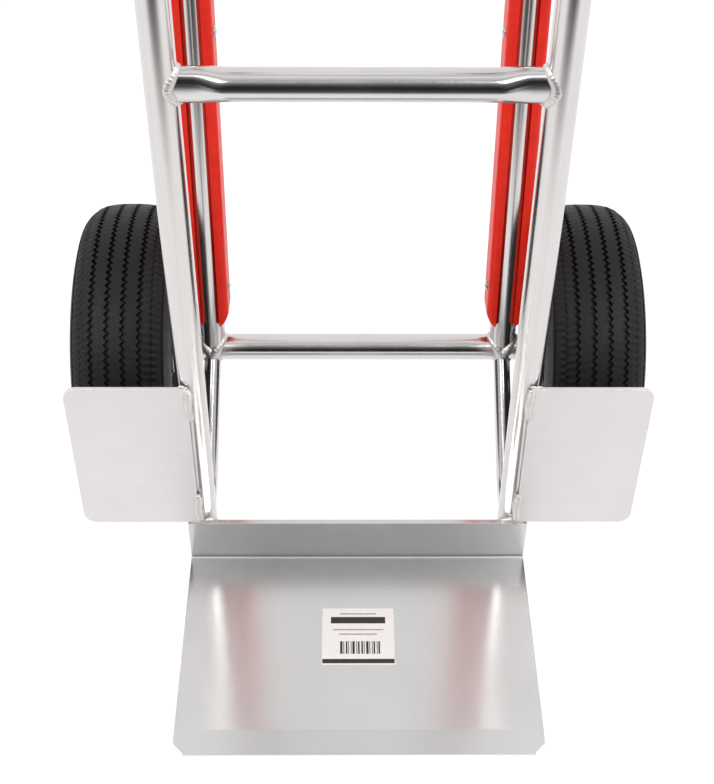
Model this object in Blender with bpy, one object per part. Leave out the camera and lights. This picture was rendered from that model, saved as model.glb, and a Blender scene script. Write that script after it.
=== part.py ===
# Two-wheel aluminium hand truck with stair glides and pneumatic wheels.
# Metres, +Z up, +X to the right, the load side faces -Y. The origin is the middle of the
# truck's footprint on the ground.

import math

import bmesh
import bpy
from mathutils import Matrix, Vector

# ---- driving dimensions -----------------------------------------------------------------

TUBE_DIAMETER = 0.024
TUBE_WALL = 0.002
TUBE_SIDES = 12
WELD_GAP = 0.0003            # between pieces that are welded or seated together
CLIP_GAP = 0.0004            # between moulded plastic and the tube it is clipped to
RUN_GAP = 0.0004             # radial clearance of everything that turns on the axle
MERGE_DISTANCE = 0.00001     # for the points where a turned shape meets its own axis

TUBE_SPACING = 0.2755        # between the centres of the two front tubes
REAR_TUBE_INSET = 0.00525    # of each rear tube's centre from its front tube's
FRONT_TUBE_FOOT = 0.004      # height of the open lower end
HANDLE_HEIGHT = 1.090        # centre of the hand grips
HANDLE_BEND = 0.080
HANDLE_REACH = 0.168         # straight length behind the bend

LOWER_BAR_HEIGHT = 0.480
UPPER_BAR_BELOW_GRIPS = 0.110  # the middle load bar is halfway between the other two

GLIDE_LEAN = math.radians(7)   # of the rear tubes, back from vertical
GLIDE_SHARE = 0.5              # straight part of the rear tubes, of the height from axle to grips
GLIDE_BEND = 0.085
GLIDE_CLIMB = math.radians(45)

BRACE_DIAMETER = 0.015
BRACE_WALL = 0.0018
BRACE_SLOPE = math.radians(47)
BRACE_BEND = 0.042
BRACE_HEIGHT = 0.0303        # of its level stretch

TOE_BEYOND_TUBE = 0.00025    # from the outside of a front tube to the toe plate's side
TOE_DEPTH = 0.204            # from the flange's face to the front edge
TOE_THICKNESS = 0.005
TOE_FLANGE = 0.0495
TOE_BEND_INSIDE = 0.003
TOE_LEAD_IN = 0.021          # length of the bevelled front strip
TOE_EDGE = 0.002             # thickness left at the front edge
TOE_CORNER = 0.010

GUARD_WIDTH = 0.1005
GUARD_HEIGHT = 0.159
GUARD_THICKNESS = 0.004
GUARD_CORNER = 0.011
GUARD_INNER_EDGE = 0.002     # from the front tube's centre line
GUARD_ABOVE_FLANGE = 0.001

SLIDER_FOOT = 0.030          # along the rear tube from the crossbar's centre
SLIDER_BELOW_BEND = 0.005
SLIDER_LIP = 0.0045          # thickness of the two front lips
SLIDER_SIDE = 0.0044         # thickness of the side walls
SLIDER_OPENING = 0.008       # half of the slot in front
SLIDER_BACK = 0.006          # thickness of the running face
SLIDER_SHOULDER = 0.005      # corner radius in front
SLIDER_HEEL = 0.003          # corner radius at the running face
SLIDER_RIVETS = (0.081, 0.611, 0.944)  # places as shares of the length
RIVET_SHANK = 0.0025
RIVET_HEAD = 0.0045
RIVET_DOME = 0.0022

WHEEL_RADIUS = 0.130
WHEEL_TO_GUARD = 0.0108      # clear space between the tread and the guard plate
WHEEL_SIDES = 32
TYRE_WIDTH = 0.084
TYRE_WALL = 0.0075
TYRE_BEAD = 0.008
INNER_TUBE_WALL = 0.002
INNER_TUBE_SLACK = 0.002
INNER_TUBE_SEAT = 0.015      # half of its flat side on the rim
TUBE_LIFT = 0.002            # of the tyre cavity's lower corners above the rim's lip
RIM_SEAT = 0.050
RIM_LIP = 0.058
RIM_WIDTH = 0.054
RIM_SHEET = 0.002
RIM_SIDES = 16
HUB_LENGTH = 0.070
HUB_WALL = 0.003
BEARING_OUTER = 0.021
BEARING_WIDTH = 0.012
BEARING_SHOULDER = 0.0175
RIM_BOLTS = 4
RIM_BOLT_CIRCLE = 0.035
RIM_BOLT_RADIUS = 0.004
RIM_BOLT_KEY = 0.0065        # half of the width across the hexagon's flats
RIM_BOLT_HEAD = 0.0055
RIM_BOLT_TIP = 0.003         # thread that shows past the nut
VALVE_OFFSET = 0.008         # from the tyre's middle plane
VALVE_RADIUS = 0.0042
VALVE_REACH = 0.032          # distance of the valve's cap from the axle

SPACER_LENGTH = 0.01475      # keeps the wheel off the end of the axle crossbar
SPACER_WALL = 0.004
WASHER_THICKNESS = 0.002
WASHER_RADIUS = 0.017
PIN_RADIUS = 0.0016
PIN_EYE = 0.0035
AXLE_BEYOND_PIN = 0.0025

GRIP_LENGTH = 0.125
GRIP_WALL = 0.0045
GRIP_COLLAR = 0.004          # how far the collar stands out
GRIP_COLLAR_WIDTH = 0.005
GRIP_END = 0.004
GRIP_BEVEL = 0.003
BOW_REACH = 0.054            # from the grip's axis to the bow's axis
BOW_RADIUS = 0.0055
BOW_CORNER = 0.016
BOW_INSET = 0.004            # of the bow from each end of the grip
BOW_ROOT = 0.0025            # how deep the bow's ends sit in the grip

# ---- places worked out from them --------------------------------------------------------

tube_radius = TUBE_DIAMETER / 2
tube_x = TUBE_SPACING / 2
rear_x = tube_x - REAR_TUBE_INSET
toe_half_width = tube_x + tube_radius + TOE_BEYOND_TUBE
axle_to_front_tube = WHEEL_RADIUS + WHEEL_TO_GUARD - tube_radius - WELD_GAP
flange_reach = axle_to_front_tube + tube_radius + WELD_GAP + TOE_THICKNESS
truck_depth = WHEEL_RADIUS + flange_reach + TOE_DEPTH
axle_y = truck_depth / 2 - WHEEL_RADIUS
axle_z = WHEEL_RADIUS
front_y = axle_y - axle_to_front_tube
flange_y = axle_y - flange_reach
axle_radius = (tube_radius - TUBE_WALL) * math.cos(math.pi / TUBE_SIDES) - WELD_GAP
axle_bar_end = tube_x + tube_radius
spacer_start = axle_bar_end + WELD_GAP
inner_washer_start = spacer_start + SPACER_LENGTH + WELD_GAP
hub_inner_x = inner_washer_start + WASHER_THICKNESS + WELD_GAP
hub_x = hub_inner_x + HUB_LENGTH / 2
hub_outer_x = hub_inner_x + HUB_LENGTH
pin_x = hub_outer_x + WELD_GAP + WASHER_THICKNESS + WELD_GAP + PIN_RADIUS
axle_end_x = pin_x + PIN_RADIUS + AXLE_BEYOND_PIN
grip_radius = tube_radius + CLIP_GAP + GRIP_WALL
slider_bore = tube_radius + CLIP_GAP
slider_half_width = slider_bore + SLIDER_SIDE
glide_straight = GLIDE_SHARE * (HANDLE_HEIGHT - axle_z)
slider_length = glide_straight - SLIDER_FOOT - SLIDER_BELOW_BEND
upper_bar_height = HANDLE_HEIGHT - UPPER_BAR_BELOW_GRIPS
load_bar_heights = {
    "lower_load_bar": LOWER_BAR_HEIGHT,
    "middle_load_bar": (LOWER_BAR_HEIGHT + upper_bar_height) / 2,
    "upper_load_bar": upper_bar_height,
}
tyre_height = WHEEL_RADIUS - RIM_LIP
glide_direction = Vector((0, math.sin(GLIDE_LEAN), math.cos(GLIDE_LEAN)))
glide_back = Vector((0, math.cos(GLIDE_LEAN), -math.sin(GLIDE_LEAN)))


def rear_joint(side):
    """Where a rear tube, a lower brace and the axle crossbar meet."""
    return Vector((side * rear_x, axle_y, axle_z))


# ---- materials --------------------------------------------------------------------------

def make_material(name, colour, metallic, roughness):
    material = bpy.data.materials.new(name)
    material.use_nodes = True
    shader = material.node_tree.nodes["Principled BSDF"]
    shader.inputs["Base Color"].default_value = (*colour, 1.0)
    shader.inputs["Metallic"].default_value = metallic
    shader.inputs["Roughness"].default_value = roughness
    material.diffuse_color = (*colour, 1.0)
    return material


def make_materials():
    return {
        "aluminium": make_material("satin_aluminium_tube", (0.72, 0.71, 0.70), 1.0, 0.32),
        "plate": make_material("rolled_aluminium_plate", (0.62, 0.61, 0.60), 1.0, 0.38),
        "slider": make_material("red_polypropylene", (0.62, 0.03, 0.02), 0.0, 0.35),
        "tyre": make_material("tyre_rubber", (0.018, 0.018, 0.019), 0.0, 0.55),
        "tube_rubber": make_material("butyl_rubber", (0.03, 0.03, 0.03), 0.0, 0.6),
        "rim": make_material("black_painted_steel", (0.02, 0.02, 0.02), 0.0, 0.35),
        "steel": make_material("zinc_plated_steel", (0.55, 0.55, 0.56), 1.0, 0.3),
        "grip": make_material("black_moulded_plastic", (0.02, 0.02, 0.02), 0.0, 0.5),
    }


# ---- mesh helpers -----------------------------------------------------------------------

def add_object(name, bm, material, sharp_angle=math.radians(35)):
    mesh = bpy.data.meshes.new(name)
    bmesh.ops.recalc_face_normals(bm, faces=bm.faces)
    bm.to_mesh(mesh)
    bm.free()
    mesh.materials.append(material)
    mesh.shade_smooth()
    mesh.set_sharp_from_angle(angle=sharp_angle)
    thing = bpy.data.objects.new(name, mesh)
    bpy.context.scene.collection.objects.link(thing)
    return thing


def add_cutter(name, bm):
    """Guide solid for a Boolean; it isn't part of the truck."""
    cutter = add_object(name, bm, bpy.data.materials["satin_aluminium_tube"])
    cutter.hide_render = True
    cutter.display_type = "WIRE"
    return cutter


def combine(target, other, operation):
    modifier = target.modifiers.new(operation.lower(), "BOOLEAN")
    modifier.operation = operation
    modifier.solver = "EXACT"
    modifier.object = other


def turn_to(direction):
    """Rotation that takes +Z to a direction, keeping X level."""
    return Vector((0, 0, 1)).rotation_difference(Vector(direction)).to_matrix().to_4x4()


def rod(start, end, radius, sides, clear=0.0):
    """Closed cylinder whose flats stay outside radius + clear when clear is given."""
    start, end = Vector(start), Vector(end)
    corner = (radius + clear) / math.cos(math.pi / sides) if clear else radius
    bm = bmesh.new()
    place = Matrix.Translation((start + end) / 2) @ turn_to((end - start).normalized())
    bmesh.ops.create_cone(
        bm, cap_ends=True, segments=sides, radius1=corner, radius2=corner,
        depth=(end - start).length, matrix=place,
    )
    return bm


def ring_face(bm, centre, normal, outer, inner, sides):
    """Flat annulus, or a disc when inner is 0; returns its faces."""
    place = Matrix.Translation(centre) @ turn_to(normal)
    made = bmesh.ops.create_circle(bm, cap_ends=inner == 0, segments=sides, radius=outer, matrix=place)
    if inner == 0:
        return list(bm.faces)
    hole = bmesh.ops.create_circle(bm, cap_ends=False, segments=sides, radius=inner, matrix=place)
    rims = {edge for vert in made["verts"] + hole["verts"] for edge in vert.link_edges}
    return bmesh.ops.bridge_loops(bm, edges=list(rims))["faces"]


def run_tube(start, direction, runs, outer, inner, sides):
    """Tube that starts along a direction. A run is a length, or, after the first one, a bend
    about the X axis as (radius, angle, steps), where a positive angle turns +Z towards -Y."""
    bm = bmesh.new()
    place, heading = Vector(start), Vector(direction).normalized()
    faces = ring_face(bm, place, heading, outer, inner, sides)
    for number, run in enumerate(runs):
        if isinstance(run, tuple):
            radius, angle, steps = run
            side = Vector((1, 0, 0)).cross(heading) * math.copysign(1, angle)
            centre = place + side * radius
            turn = Matrix.Rotation(angle, 4, "X")
            made = bmesh.ops.spin(bm, geom=faces, cent=centre, axis=(1, 0, 0), angle=angle, steps=steps)
            end = made["geom_last"]
            place = centre + turn @ (place - centre)
            heading = turn.to_3x3() @ heading
        else:
            end = bmesh.ops.extrude_face_region(bm, geom=faces)["geom"]
            verts = [g for g in end if isinstance(g, bmesh.types.BMVert)]
            bmesh.ops.translate(bm, verts=verts, vec=heading * run)
            place = place + heading * run
        if number > 0:
            bmesh.ops.delete(bm, geom=faces, context="FACES_KEEP_BOUNDARY")
        faces = [g for g in end if isinstance(g, bmesh.types.BMFace)]
    return bm


def turned(profile, centre, sides):
    """Solid of revolution about a line along X; profile points are (offset along X, radius)."""
    bm = bmesh.new()
    verts = [bm.verts.new(Vector(centre) + Vector((offset, 0, radius))) for offset, radius in profile]
    edges = [bm.edges.new((a, b)) for a, b in zip(verts, verts[1:] + verts[:1])]
    bmesh.ops.spin(
        bm, geom=verts + edges, cent=centre, axis=(1, 0, 0), angle=2 * math.pi, steps=sides,
        use_merge=True,
    )
    return bm


def plate(outline, depth):
    """Plate from an outline in space, pushed along a depth vector."""
    bm = bmesh.new()
    face = bm.faces.new([bm.verts.new(point) for point in outline])
    made = bmesh.ops.extrude_face_region(bm, geom=[face])["geom"]
    verts = [g for g in made if isinstance(g, bmesh.types.BMVert)]
    bmesh.ops.translate(bm, verts=verts, vec=depth)
    return bm


def arc(centre, radius, start, end, steps):
    """Points of an arc in a plane, as (u, v); angles in degrees."""
    angles = [math.radians(start + (end - start) * i / steps) for i in range(steps + 1)]
    return [(centre[0] + radius * math.cos(a), centre[1] + radius * math.sin(a)) for a in angles]


# ---- frame ------------------------------------------------------------------------------

def front_tube(name, side, material):
    runs = [HANDLE_HEIGHT - HANDLE_BEND - FRONT_TUBE_FOOT, (HANDLE_BEND, -math.pi / 2, 8), HANDLE_REACH]
    start = (side * tube_x, front_y, FRONT_TUBE_FOOT)
    bm = run_tube(start, (0, 0, 1), runs, tube_radius, tube_radius - TUBE_WALL, TUBE_SIDES)
    return add_object(name, bm, material)


def front_tube_cutter(side):
    foot = (side * tube_x, front_y, -TUBE_DIAMETER)
    top = (side * tube_x, front_y, HANDLE_HEIGHT)
    return add_cutter(f"cope_front_{side:+d}", rod(foot, top, tube_radius, 2 * TUBE_SIDES, WELD_GAP))


def crossbar(name, height, material, cutters):
    start = (-tube_x, front_y, height)
    bm = run_tube(start, (1, 0, 0), [TUBE_SPACING], tube_radius, tube_radius - TUBE_WALL, TUBE_SIDES)
    bar = add_object(name, bm, material)
    for cutter in cutters:
        combine(bar, cutter, "DIFFERENCE")
    return bar


def axle_bar(material):
    start = (-axle_bar_end, axle_y, axle_z)
    bm = run_tube(start, (1, 0, 0), [2 * axle_bar_end], tube_radius, tube_radius - TUBE_WALL, TUBE_SIDES)
    return add_object("axle_crossbar", bm, material)


def axle_bar_cutter():
    reach = axle_bar_end + TUBE_DIAMETER
    ends = [(side * reach, axle_y, axle_z) for side in (-1, 1)]
    return add_cutter("cope_axle_bar", rod(*ends, tube_radius, 2 * TUBE_SIDES, WELD_GAP))


def glide_cutter(side):
    """Cylinder round the foot of a rear tube, for the brace that meets it."""
    foot = rear_joint(side)
    ends = (foot, foot + glide_direction * 2 * TUBE_DIAMETER)
    return add_cutter(f"cope_glide_{side:+d}", rod(*ends, tube_radius, 2 * TUBE_SIDES, WELD_GAP))


def glide_tube(name, side, material, cutters):
    """Rear tube: stands on the axle crossbar, leans back and comes forward to the front tube."""
    start = rear_joint(side)
    bend = GLIDE_LEAN + GLIDE_CLIMB
    top = start + glide_direction * glide_straight
    towards_front = Vector((0, -math.sin(GLIDE_CLIMB), math.cos(GLIDE_CLIMB)))
    bend_shift = GLIDE_BEND * (math.cos(GLIDE_LEAN) - math.cos(GLIDE_CLIMB))
    climb = (top.y - bend_shift - front_y) / abs(towards_front.y)
    runs = [glide_straight, (GLIDE_BEND, bend, 6), climb]
    bm = run_tube(start, glide_direction, runs, tube_radius, tube_radius - TUBE_WALL, TUBE_SIDES)
    tube = add_object(name, bm, material)
    for cutter in cutters:
        combine(tube, cutter, "DIFFERENCE")
    return tube


def lower_brace(name, side, material, cutters):
    """Thinner tube from under the axle crossbar down, forward and out to the front tube."""
    start = rear_joint(side)
    splay = Vector((side * REAR_TUBE_INSET, -axle_to_front_tube, 0))
    heading = Vector((0, -math.cos(BRACE_SLOPE), -math.sin(BRACE_SLOPE)))
    fall = axle_z - BRACE_HEIGHT - BRACE_BEND * (1 - math.cos(BRACE_SLOPE))
    sloping = fall / math.sin(BRACE_SLOPE)
    level = splay.length - sloping * math.cos(BRACE_SLOPE) - BRACE_BEND * math.sin(BRACE_SLOPE)
    runs = [sloping, (BRACE_BEND, -BRACE_SLOPE, 5), level]
    radius = BRACE_DIAMETER / 2
    bm = run_tube(start, heading, runs, radius, radius - BRACE_WALL, TUBE_SIDES)
    turn = Vector((0, -1, 0)).rotation_difference(splay.normalized()).to_matrix()
    bmesh.ops.rotate(bm, cent=start, matrix=turn, verts=bm.verts)
    tube = add_object(name, bm, material)
    for cutter in cutters:
        combine(tube, cutter, "DIFFERENCE")
    return tube


def toe_plate(material):
    """Bent plate: an upright flange and a foot whose front edge is bevelled."""
    face = flange_y
    back = face + TOE_THICKNESS
    front = face - TOE_DEPTH
    bend = (face - TOE_BEND_INSIDE, TOE_THICKNESS + TOE_BEND_INSIDE)
    inner = arc(bend, TOE_BEND_INSIDE, 0, -90, 4)
    outer = arc(bend, TOE_BEND_INSIDE + TOE_THICKNESS, -90, 0, 4)
    section = (
        [(back, TOE_FLANGE), (face, TOE_FLANGE)] + inner
        + [(front + TOE_LEAD_IN, TOE_THICKNESS), (front, TOE_EDGE), (front, 0)] + outer
    )
    outline = [(-toe_half_width, y, z) for y, z in section]
    toe = add_object("toe_plate", plate(outline, (2 * toe_half_width, 0, 0)), material)
    for side in (-1, 1):
        combine(toe, corner_cutter(side, front), "DIFFERENCE")
    return toe


def corner_cutter(side, front):
    """Takes one front corner of the foot off to its radius."""
    beyond = TOE_EDGE
    edge = toe_half_width
    centre = (edge - TOE_CORNER, front + TOE_CORNER)
    curve = arc(centre, TOE_CORNER, 0, -90, 6)
    outline = [(edge + beyond, front + TOE_CORNER)] + curve + [(edge - TOE_CORNER, front - beyond),
                                                              (edge + beyond, front - beyond)]
    points = [(side * x, y, -beyond) for x, y in outline]
    return add_cutter(f"toe_corner_{side:+d}", plate(points, (0, 0, TOE_THICKNESS + 2 * beyond)))


def wheel_guard(name, side, material):
    """Flat plate in front of the wheel; its two outer corners are round."""
    inner_x = tube_x + GUARD_INNER_EDGE
    low = TOE_FLANGE + GUARD_ABOVE_FLANGE
    outer_x, high = inner_x + GUARD_WIDTH, low + GUARD_HEIGHT
    lower = arc((outer_x - GUARD_CORNER, low + GUARD_CORNER), GUARD_CORNER, -90, 0, 6)
    upper = arc((outer_x - GUARD_CORNER, high - GUARD_CORNER), GUARD_CORNER, 0, 90, 6)
    back_y = front_y - tube_radius - WELD_GAP
    outline = [(side * x, back_y, z) for x, z in [(inner_x, low)] + lower + upper + [(inner_x, high)]]
    return add_object(name, plate(outline, (0, -GUARD_THICKNESS, 0)), material)


# ---- axle and its hardware --------------------------------------------------------------

def axle(material, pin_holes):
    ends = [(side * axle_end_x, axle_y, axle_z) for side in (-1, 1)]
    shaft = add_object("axle", rod(*ends, axle_radius, RIM_SIDES), material)
    for hole in pin_holes:
        combine(shaft, hole, "DIFFERENCE")
    return shaft


def pin_hole(side):
    x = side * pin_x
    reach = 2 * axle_radius
    ends = [(x, axle_y, axle_z - reach), (x, axle_y, axle_z + reach)]
    return add_cutter(f"pin_hole_{side:+d}", rod(*ends, PIN_RADIUS, 12, WELD_GAP))


def split_pin(name, side, material):
    """Straight pin through the axle with its eye on top and its tail below."""
    x = side * pin_x
    below = (x, axle_y, axle_z - axle_radius - 3 * PIN_RADIUS)
    above = (x, axle_y, axle_z + axle_radius + 2 * PIN_RADIUS)
    pin = add_object(name, rod(below, above, PIN_RADIUS, 12), material)
    eye = bmesh.new()
    eye_radius = PIN_EYE
    place = Matrix.Translation((x, axle_y, above[2] + eye_radius - PIN_RADIUS / 2))
    bmesh.ops.create_uvsphere(eye, u_segments=10, v_segments=6, radius=eye_radius, matrix=place)
    bmesh.ops.scale(eye, vec=(PIN_RADIUS / eye_radius, 1, 1), space=Matrix.Translation((-x, 0, 0)),
                    verts=eye.verts)
    combine(pin, add_cutter(f"{name}_eye", eye), "UNION")
    return pin


def sleeve(name, side, inner_face, length, radius, material):
    """Washer or spacer on the axle; the face nearer the frame is inner_face."""
    bore = axle_radius + RUN_GAP
    offsets = sorted((side * inner_face, side * (inner_face + length)))
    profile = [(offsets[0], radius), (offsets[1], radius), (offsets[1], bore), (offsets[0], bore)]
    return add_object(name, turned(profile, (0, axle_y, axle_z), RIM_SIDES), material)


# ---- wheels -----------------------------------------------------------------------------

def tyre_outside():
    """Half of the tyre's outer section, from the crown to the bead."""
    half = TYRE_WIDTH / 2
    shoulder = RIM_LIP + 0.889 * tyre_height
    waist = RIM_LIP + 0.542 * tyre_height
    ankle = RIM_LIP + 0.111 * tyre_height
    bead = RIM_WIDTH / 2 - RIM_SHEET - WELD_GAP
    seat = RIM_SEAT + WELD_GAP
    return [
        (0.45 * half, WHEEL_RADIUS), (0.84 * half, shoulder), (half, waist), (0.80 * half, ankle),
        (bead, RIM_LIP + WELD_GAP), (bead, seat), (bead - TYRE_BEAD, seat),
    ]


def cavity(slack):
    """Half of the section of the space in the tyre, made smaller by slack."""
    reach = TYRE_WIDTH / 2 - TYRE_WALL - slack
    top = WHEEL_RADIUS - TYRE_WALL - slack
    waist = RIM_LIP + 0.542 * tyre_height
    ankle = RIM_LIP + 0.25 * tyre_height + slack
    floor = RIM_LIP + TUBE_LIFT + slack
    return [(0.50 * reach, top), (reach, waist), (0.85 * reach, ankle), (0.50 * reach, floor)]


def mirrored(half):
    return half + [(-offset, radius) for offset, radius in reversed(half)]


def tyre(name, wheel, material):
    section = mirrored(tyre_outside() + list(reversed(cavity(0))))
    return add_object(name, turned(section, wheel, WHEEL_SIDES), material, math.radians(50))


def inner_tube(name, wheel, material, hole):
    """Air-filled tube; the valve's hole opens its cavity."""
    seat = RIM_SEAT + 2 * WELD_GAP
    wall = INNER_TUBE_WALL
    outside = cavity(INNER_TUBE_SLACK) + [(INNER_TUBE_SEAT, seat)]
    inside = cavity(INNER_TUBE_SLACK + wall) + [(INNER_TUBE_SEAT - wall, seat + wall)]
    skin = add_object(name, turned(mirrored(outside), wheel, RIM_SIDES), material, math.radians(50))
    combine(skin, add_cutter(f"{name}_cavity", turned(mirrored(inside), wheel, RIM_SIDES)), "DIFFERENCE")
    combine(skin, hole, "DIFFERENCE")
    return skin


def rim_half(name, wheel, face, material, holes):
    """Pressed half of the rim with its bearing cup; face is the side it dishes to."""
    split = WELD_GAP / 2
    half_width, cup_end = RIM_WIDTH / 2, HUB_LENGTH / 2
    shoulder = cup_end - BEARING_WIDTH - WELD_GAP - RIM_SHEET
    cup = BEARING_OUTER + WELD_GAP
    hub_radius = cup + HUB_WALL
    profile = [
        (split, BEARING_SHOULDER), (shoulder, BEARING_SHOULDER), (shoulder, cup), (cup_end, cup),
        (cup_end, hub_radius), (split + RIM_SHEET, hub_radius),
        (split + RIM_SHEET, RIM_SEAT - RIM_SHEET), (half_width, RIM_SEAT - RIM_SHEET),
        (half_width, RIM_LIP), (half_width - RIM_SHEET, RIM_LIP), (half_width - RIM_SHEET, RIM_SEAT),
        (split, RIM_SEAT),
    ]
    bm = turned([(face * offset, radius) for offset, radius in profile], wheel, RIM_SIDES)
    rim = add_object(name, bm, material)
    for hole in holes:
        combine(rim, hole, "DIFFERENCE")
    return rim


def bearing(name, wheel, face, material):
    outer_face = HUB_LENGTH / 2
    offsets = (face * (outer_face - BEARING_WIDTH), face * outer_face)
    bore = axle_radius + RUN_GAP
    back, front = offsets
    profile = [(back, BEARING_OUTER), (front, BEARING_OUTER), (front, bore), (back, bore)]
    return add_object(name, turned(profile, wheel, RIM_SIDES), material)


def bolt_place(wheel, number):
    angle = 2 * math.pi * (number + 0.5) / RIM_BOLTS
    return wheel + RIM_BOLT_CIRCLE * Vector((0, math.cos(angle), math.sin(angle)))


def bolt_hole(name, wheel, number):
    centre = bolt_place(wheel, number)
    reach = Vector((4 * RIM_SHEET, 0, 0))
    return add_cutter(name, rod(centre - reach, centre + reach, RIM_BOLT_RADIUS, 12, WELD_GAP))


def rim_bolt(name, wheel, number, face, material):
    """Hexagon bolt with its nut done up, through both halves of the rim."""
    grip = RIM_SHEET + 1.5 * WELD_GAP
    under_head = grip + RIM_BOLT_HEAD
    tip = under_head + RIM_BOLT_TIP
    corner = RIM_BOLT_KEY / math.cos(math.pi / 6)
    centre = bolt_place(wheel, number)
    profile = [
        (-under_head, 0.0), (-under_head, corner), (-grip, corner), (-grip, RIM_BOLT_RADIUS),
        (grip, RIM_BOLT_RADIUS), (grip, corner), (under_head, corner), (under_head, RIM_BOLT_RADIUS),
        (tip, RIM_BOLT_RADIUS), (tip, 0.0),
    ]
    bm = bmesh.new()
    verts = [bm.verts.new(centre + Vector((face * offset, 0, radius))) for offset, radius in profile]
    edges = [bm.edges.new(pair) for pair in zip(verts, verts[1:])]
    bmesh.ops.spin(bm, geom=verts + edges, cent=centre, axis=(1, 0, 0), angle=2 * math.pi, steps=6,
                   use_merge=True)
    bmesh.ops.remove_doubles(bm, verts=bm.verts, dist=MERGE_DISTANCE)
    return add_object(name, bm, material, math.radians(20))


def valve_point(wheel, face, radius):
    """Point on the valve's axis, which crosses one flat of the rim at right angles."""
    angle = math.pi / RIM_SIDES
    return wheel + Vector((face * VALVE_OFFSET, radius * math.sin(angle), -radius * math.cos(angle)))


def valve(name, wheel, face, material):
    """Rubber valve stem that comes through the outer rim half towards the hub."""
    ends = [valve_point(wheel, face, radius) for radius in (RIM_SEAT + 0.004, VALVE_REACH)]
    return add_object(name, rod(*ends, VALVE_RADIUS, 12), material)


def valve_cutter(name, wheel, face):
    ends = [valve_point(wheel, face, radius) for radius in (RIM_SEAT + 0.006, RIM_SEAT - 3 * RIM_SHEET)]
    return add_cutter(name, rod(*ends, VALVE_RADIUS, 12, WELD_GAP))


def wheel_assembly(label, side, materials):
    """Everything that turns on one end of the axle."""
    wheel = Vector((side * hub_x, axle_y, axle_z))
    hub = bpy.data.objects.new(f"{label}_wheel_axis", None)
    hub.location = wheel
    bpy.context.scene.collection.objects.link(hub)
    stem_hole = valve_cutter(f"{label}_valve_hole", wheel, side)
    bolt_holes = [bolt_hole(f"{label}_bolt_hole_{i + 1}", wheel, i) for i in range(RIM_BOLTS)]
    pieces = [
        tyre(f"{label}_tyre", wheel, materials["tyre"]),
        inner_tube(f"{label}_inner_tube", wheel, materials["tube_rubber"], stem_hole),
        rim_half(f"{label}_rim_outer", wheel, side, materials["rim"], bolt_holes + [stem_hole]),
        rim_half(f"{label}_rim_inner", wheel, -side, materials["rim"], bolt_holes),
        bearing(f"{label}_bearing_outer", wheel, side, materials["steel"]),
        bearing(f"{label}_bearing_inner", wheel, -side, materials["steel"]),
        valve(f"{label}_valve", wheel, side, materials["tube_rubber"]),
    ]
    for number in range(RIM_BOLTS):
        pieces.append(rim_bolt(f"{label}_rim_bolt_{number + 1}", wheel, number, side, materials["steel"]))
    for piece in pieces:
        set_origin(piece, wheel)
        piece.parent = hub
        piece.matrix_parent_inverse = Matrix.Translation(-wheel)
    return pieces


def set_origin(thing, place):
    """Moves an object's origin to a place and leaves its shape where it is."""
    thing.data.transform(Matrix.Translation(-Vector(place)))
    thing.location = place


# ---- stair glides and grips -------------------------------------------------------------

def slider_section():
    """Half of the glide's section as (sideways, backwards) from the tube's axis."""
    lip = math.sqrt(slider_bore ** 2 - SLIDER_OPENING ** 2)
    start = math.degrees(math.atan2(-lip, SLIDER_OPENING))
    inside = arc((0, 0), slider_bore / math.cos(math.radians(11)), start, 90, 6)
    front = -lip - SLIDER_LIP
    back = slider_bore + SLIDER_BACK
    corner = (slider_half_width - SLIDER_SHOULDER, front + SLIDER_SHOULDER)
    outside = arc(corner, SLIDER_SHOULDER, -90, 0, 3)
    outside += arc((slider_half_width - SLIDER_HEEL, back - SLIDER_HEEL), SLIDER_HEEL, 0, 90, 3)
    return inside, [(SLIDER_OPENING, front)] + outside


def slider(name, side, material, holes):
    """Moulded C-section that snaps over the rear tube and runs on the stair edge."""
    inside, outside = slider_section()
    half = list(reversed(inside))[1:] + outside
    across = [(-u, v) for u, v in reversed(half)] + [(0, inside[-1][1])] + half
    base = rear_joint(side) + glide_direction * SLIDER_FOOT
    outline = [base + Vector((u, 0, 0)) + glide_back * v for u, v in across]
    piece = add_object(name, plate(outline, glide_direction * slider_length), material)
    for hole in holes:
        combine(piece, hole, "DIFFERENCE")
    return piece


def rivet_line(side, along):
    """Inner and outer ends of a rivet's shank in the side wall; along is a share of the length."""
    base = rear_joint(side) + glide_direction * (SLIDER_FOOT + along * slider_length)
    inward = Vector((-side, 0, 0))
    return base + inward * (slider_bore + 2 * CLIP_GAP), base + inward * (slider_half_width + WELD_GAP)


def rivet_hole(name, side, along):
    start, end = rivet_line(side, along)
    return add_cutter(name, rod(start * 2 - end, end * 2 - start, RIVET_SHANK, 8, WELD_GAP))


def rivet(name, side, along, material):
    """Domed rivet: the shank sits in the glide's inner wall, the head outside it."""
    start, end = rivet_line(side, along)
    shank = (end - start).length
    profile = [
        (0.0, 0.0), (0.0, RIVET_SHANK), (shank, RIVET_SHANK), (shank, RIVET_HEAD),
        (shank + 0.8 * RIVET_DOME, 0.6 * RIVET_HEAD), (shank + RIVET_DOME, 0.0),
    ]
    bm = bmesh.new()
    verts = [bm.verts.new(start + Vector((-side * offset, 0, radius))) for offset, radius in profile]
    edges = [bm.edges.new(pair) for pair in zip(verts, verts[1:])]
    bmesh.ops.spin(bm, geom=verts + edges, cent=start, axis=(1, 0, 0), angle=2 * math.pi, steps=8,
                   use_merge=True)
    bmesh.ops.remove_doubles(bm, verts=bm.verts, dist=MERGE_DISTANCE)
    return add_object(name, bm, material)


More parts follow.
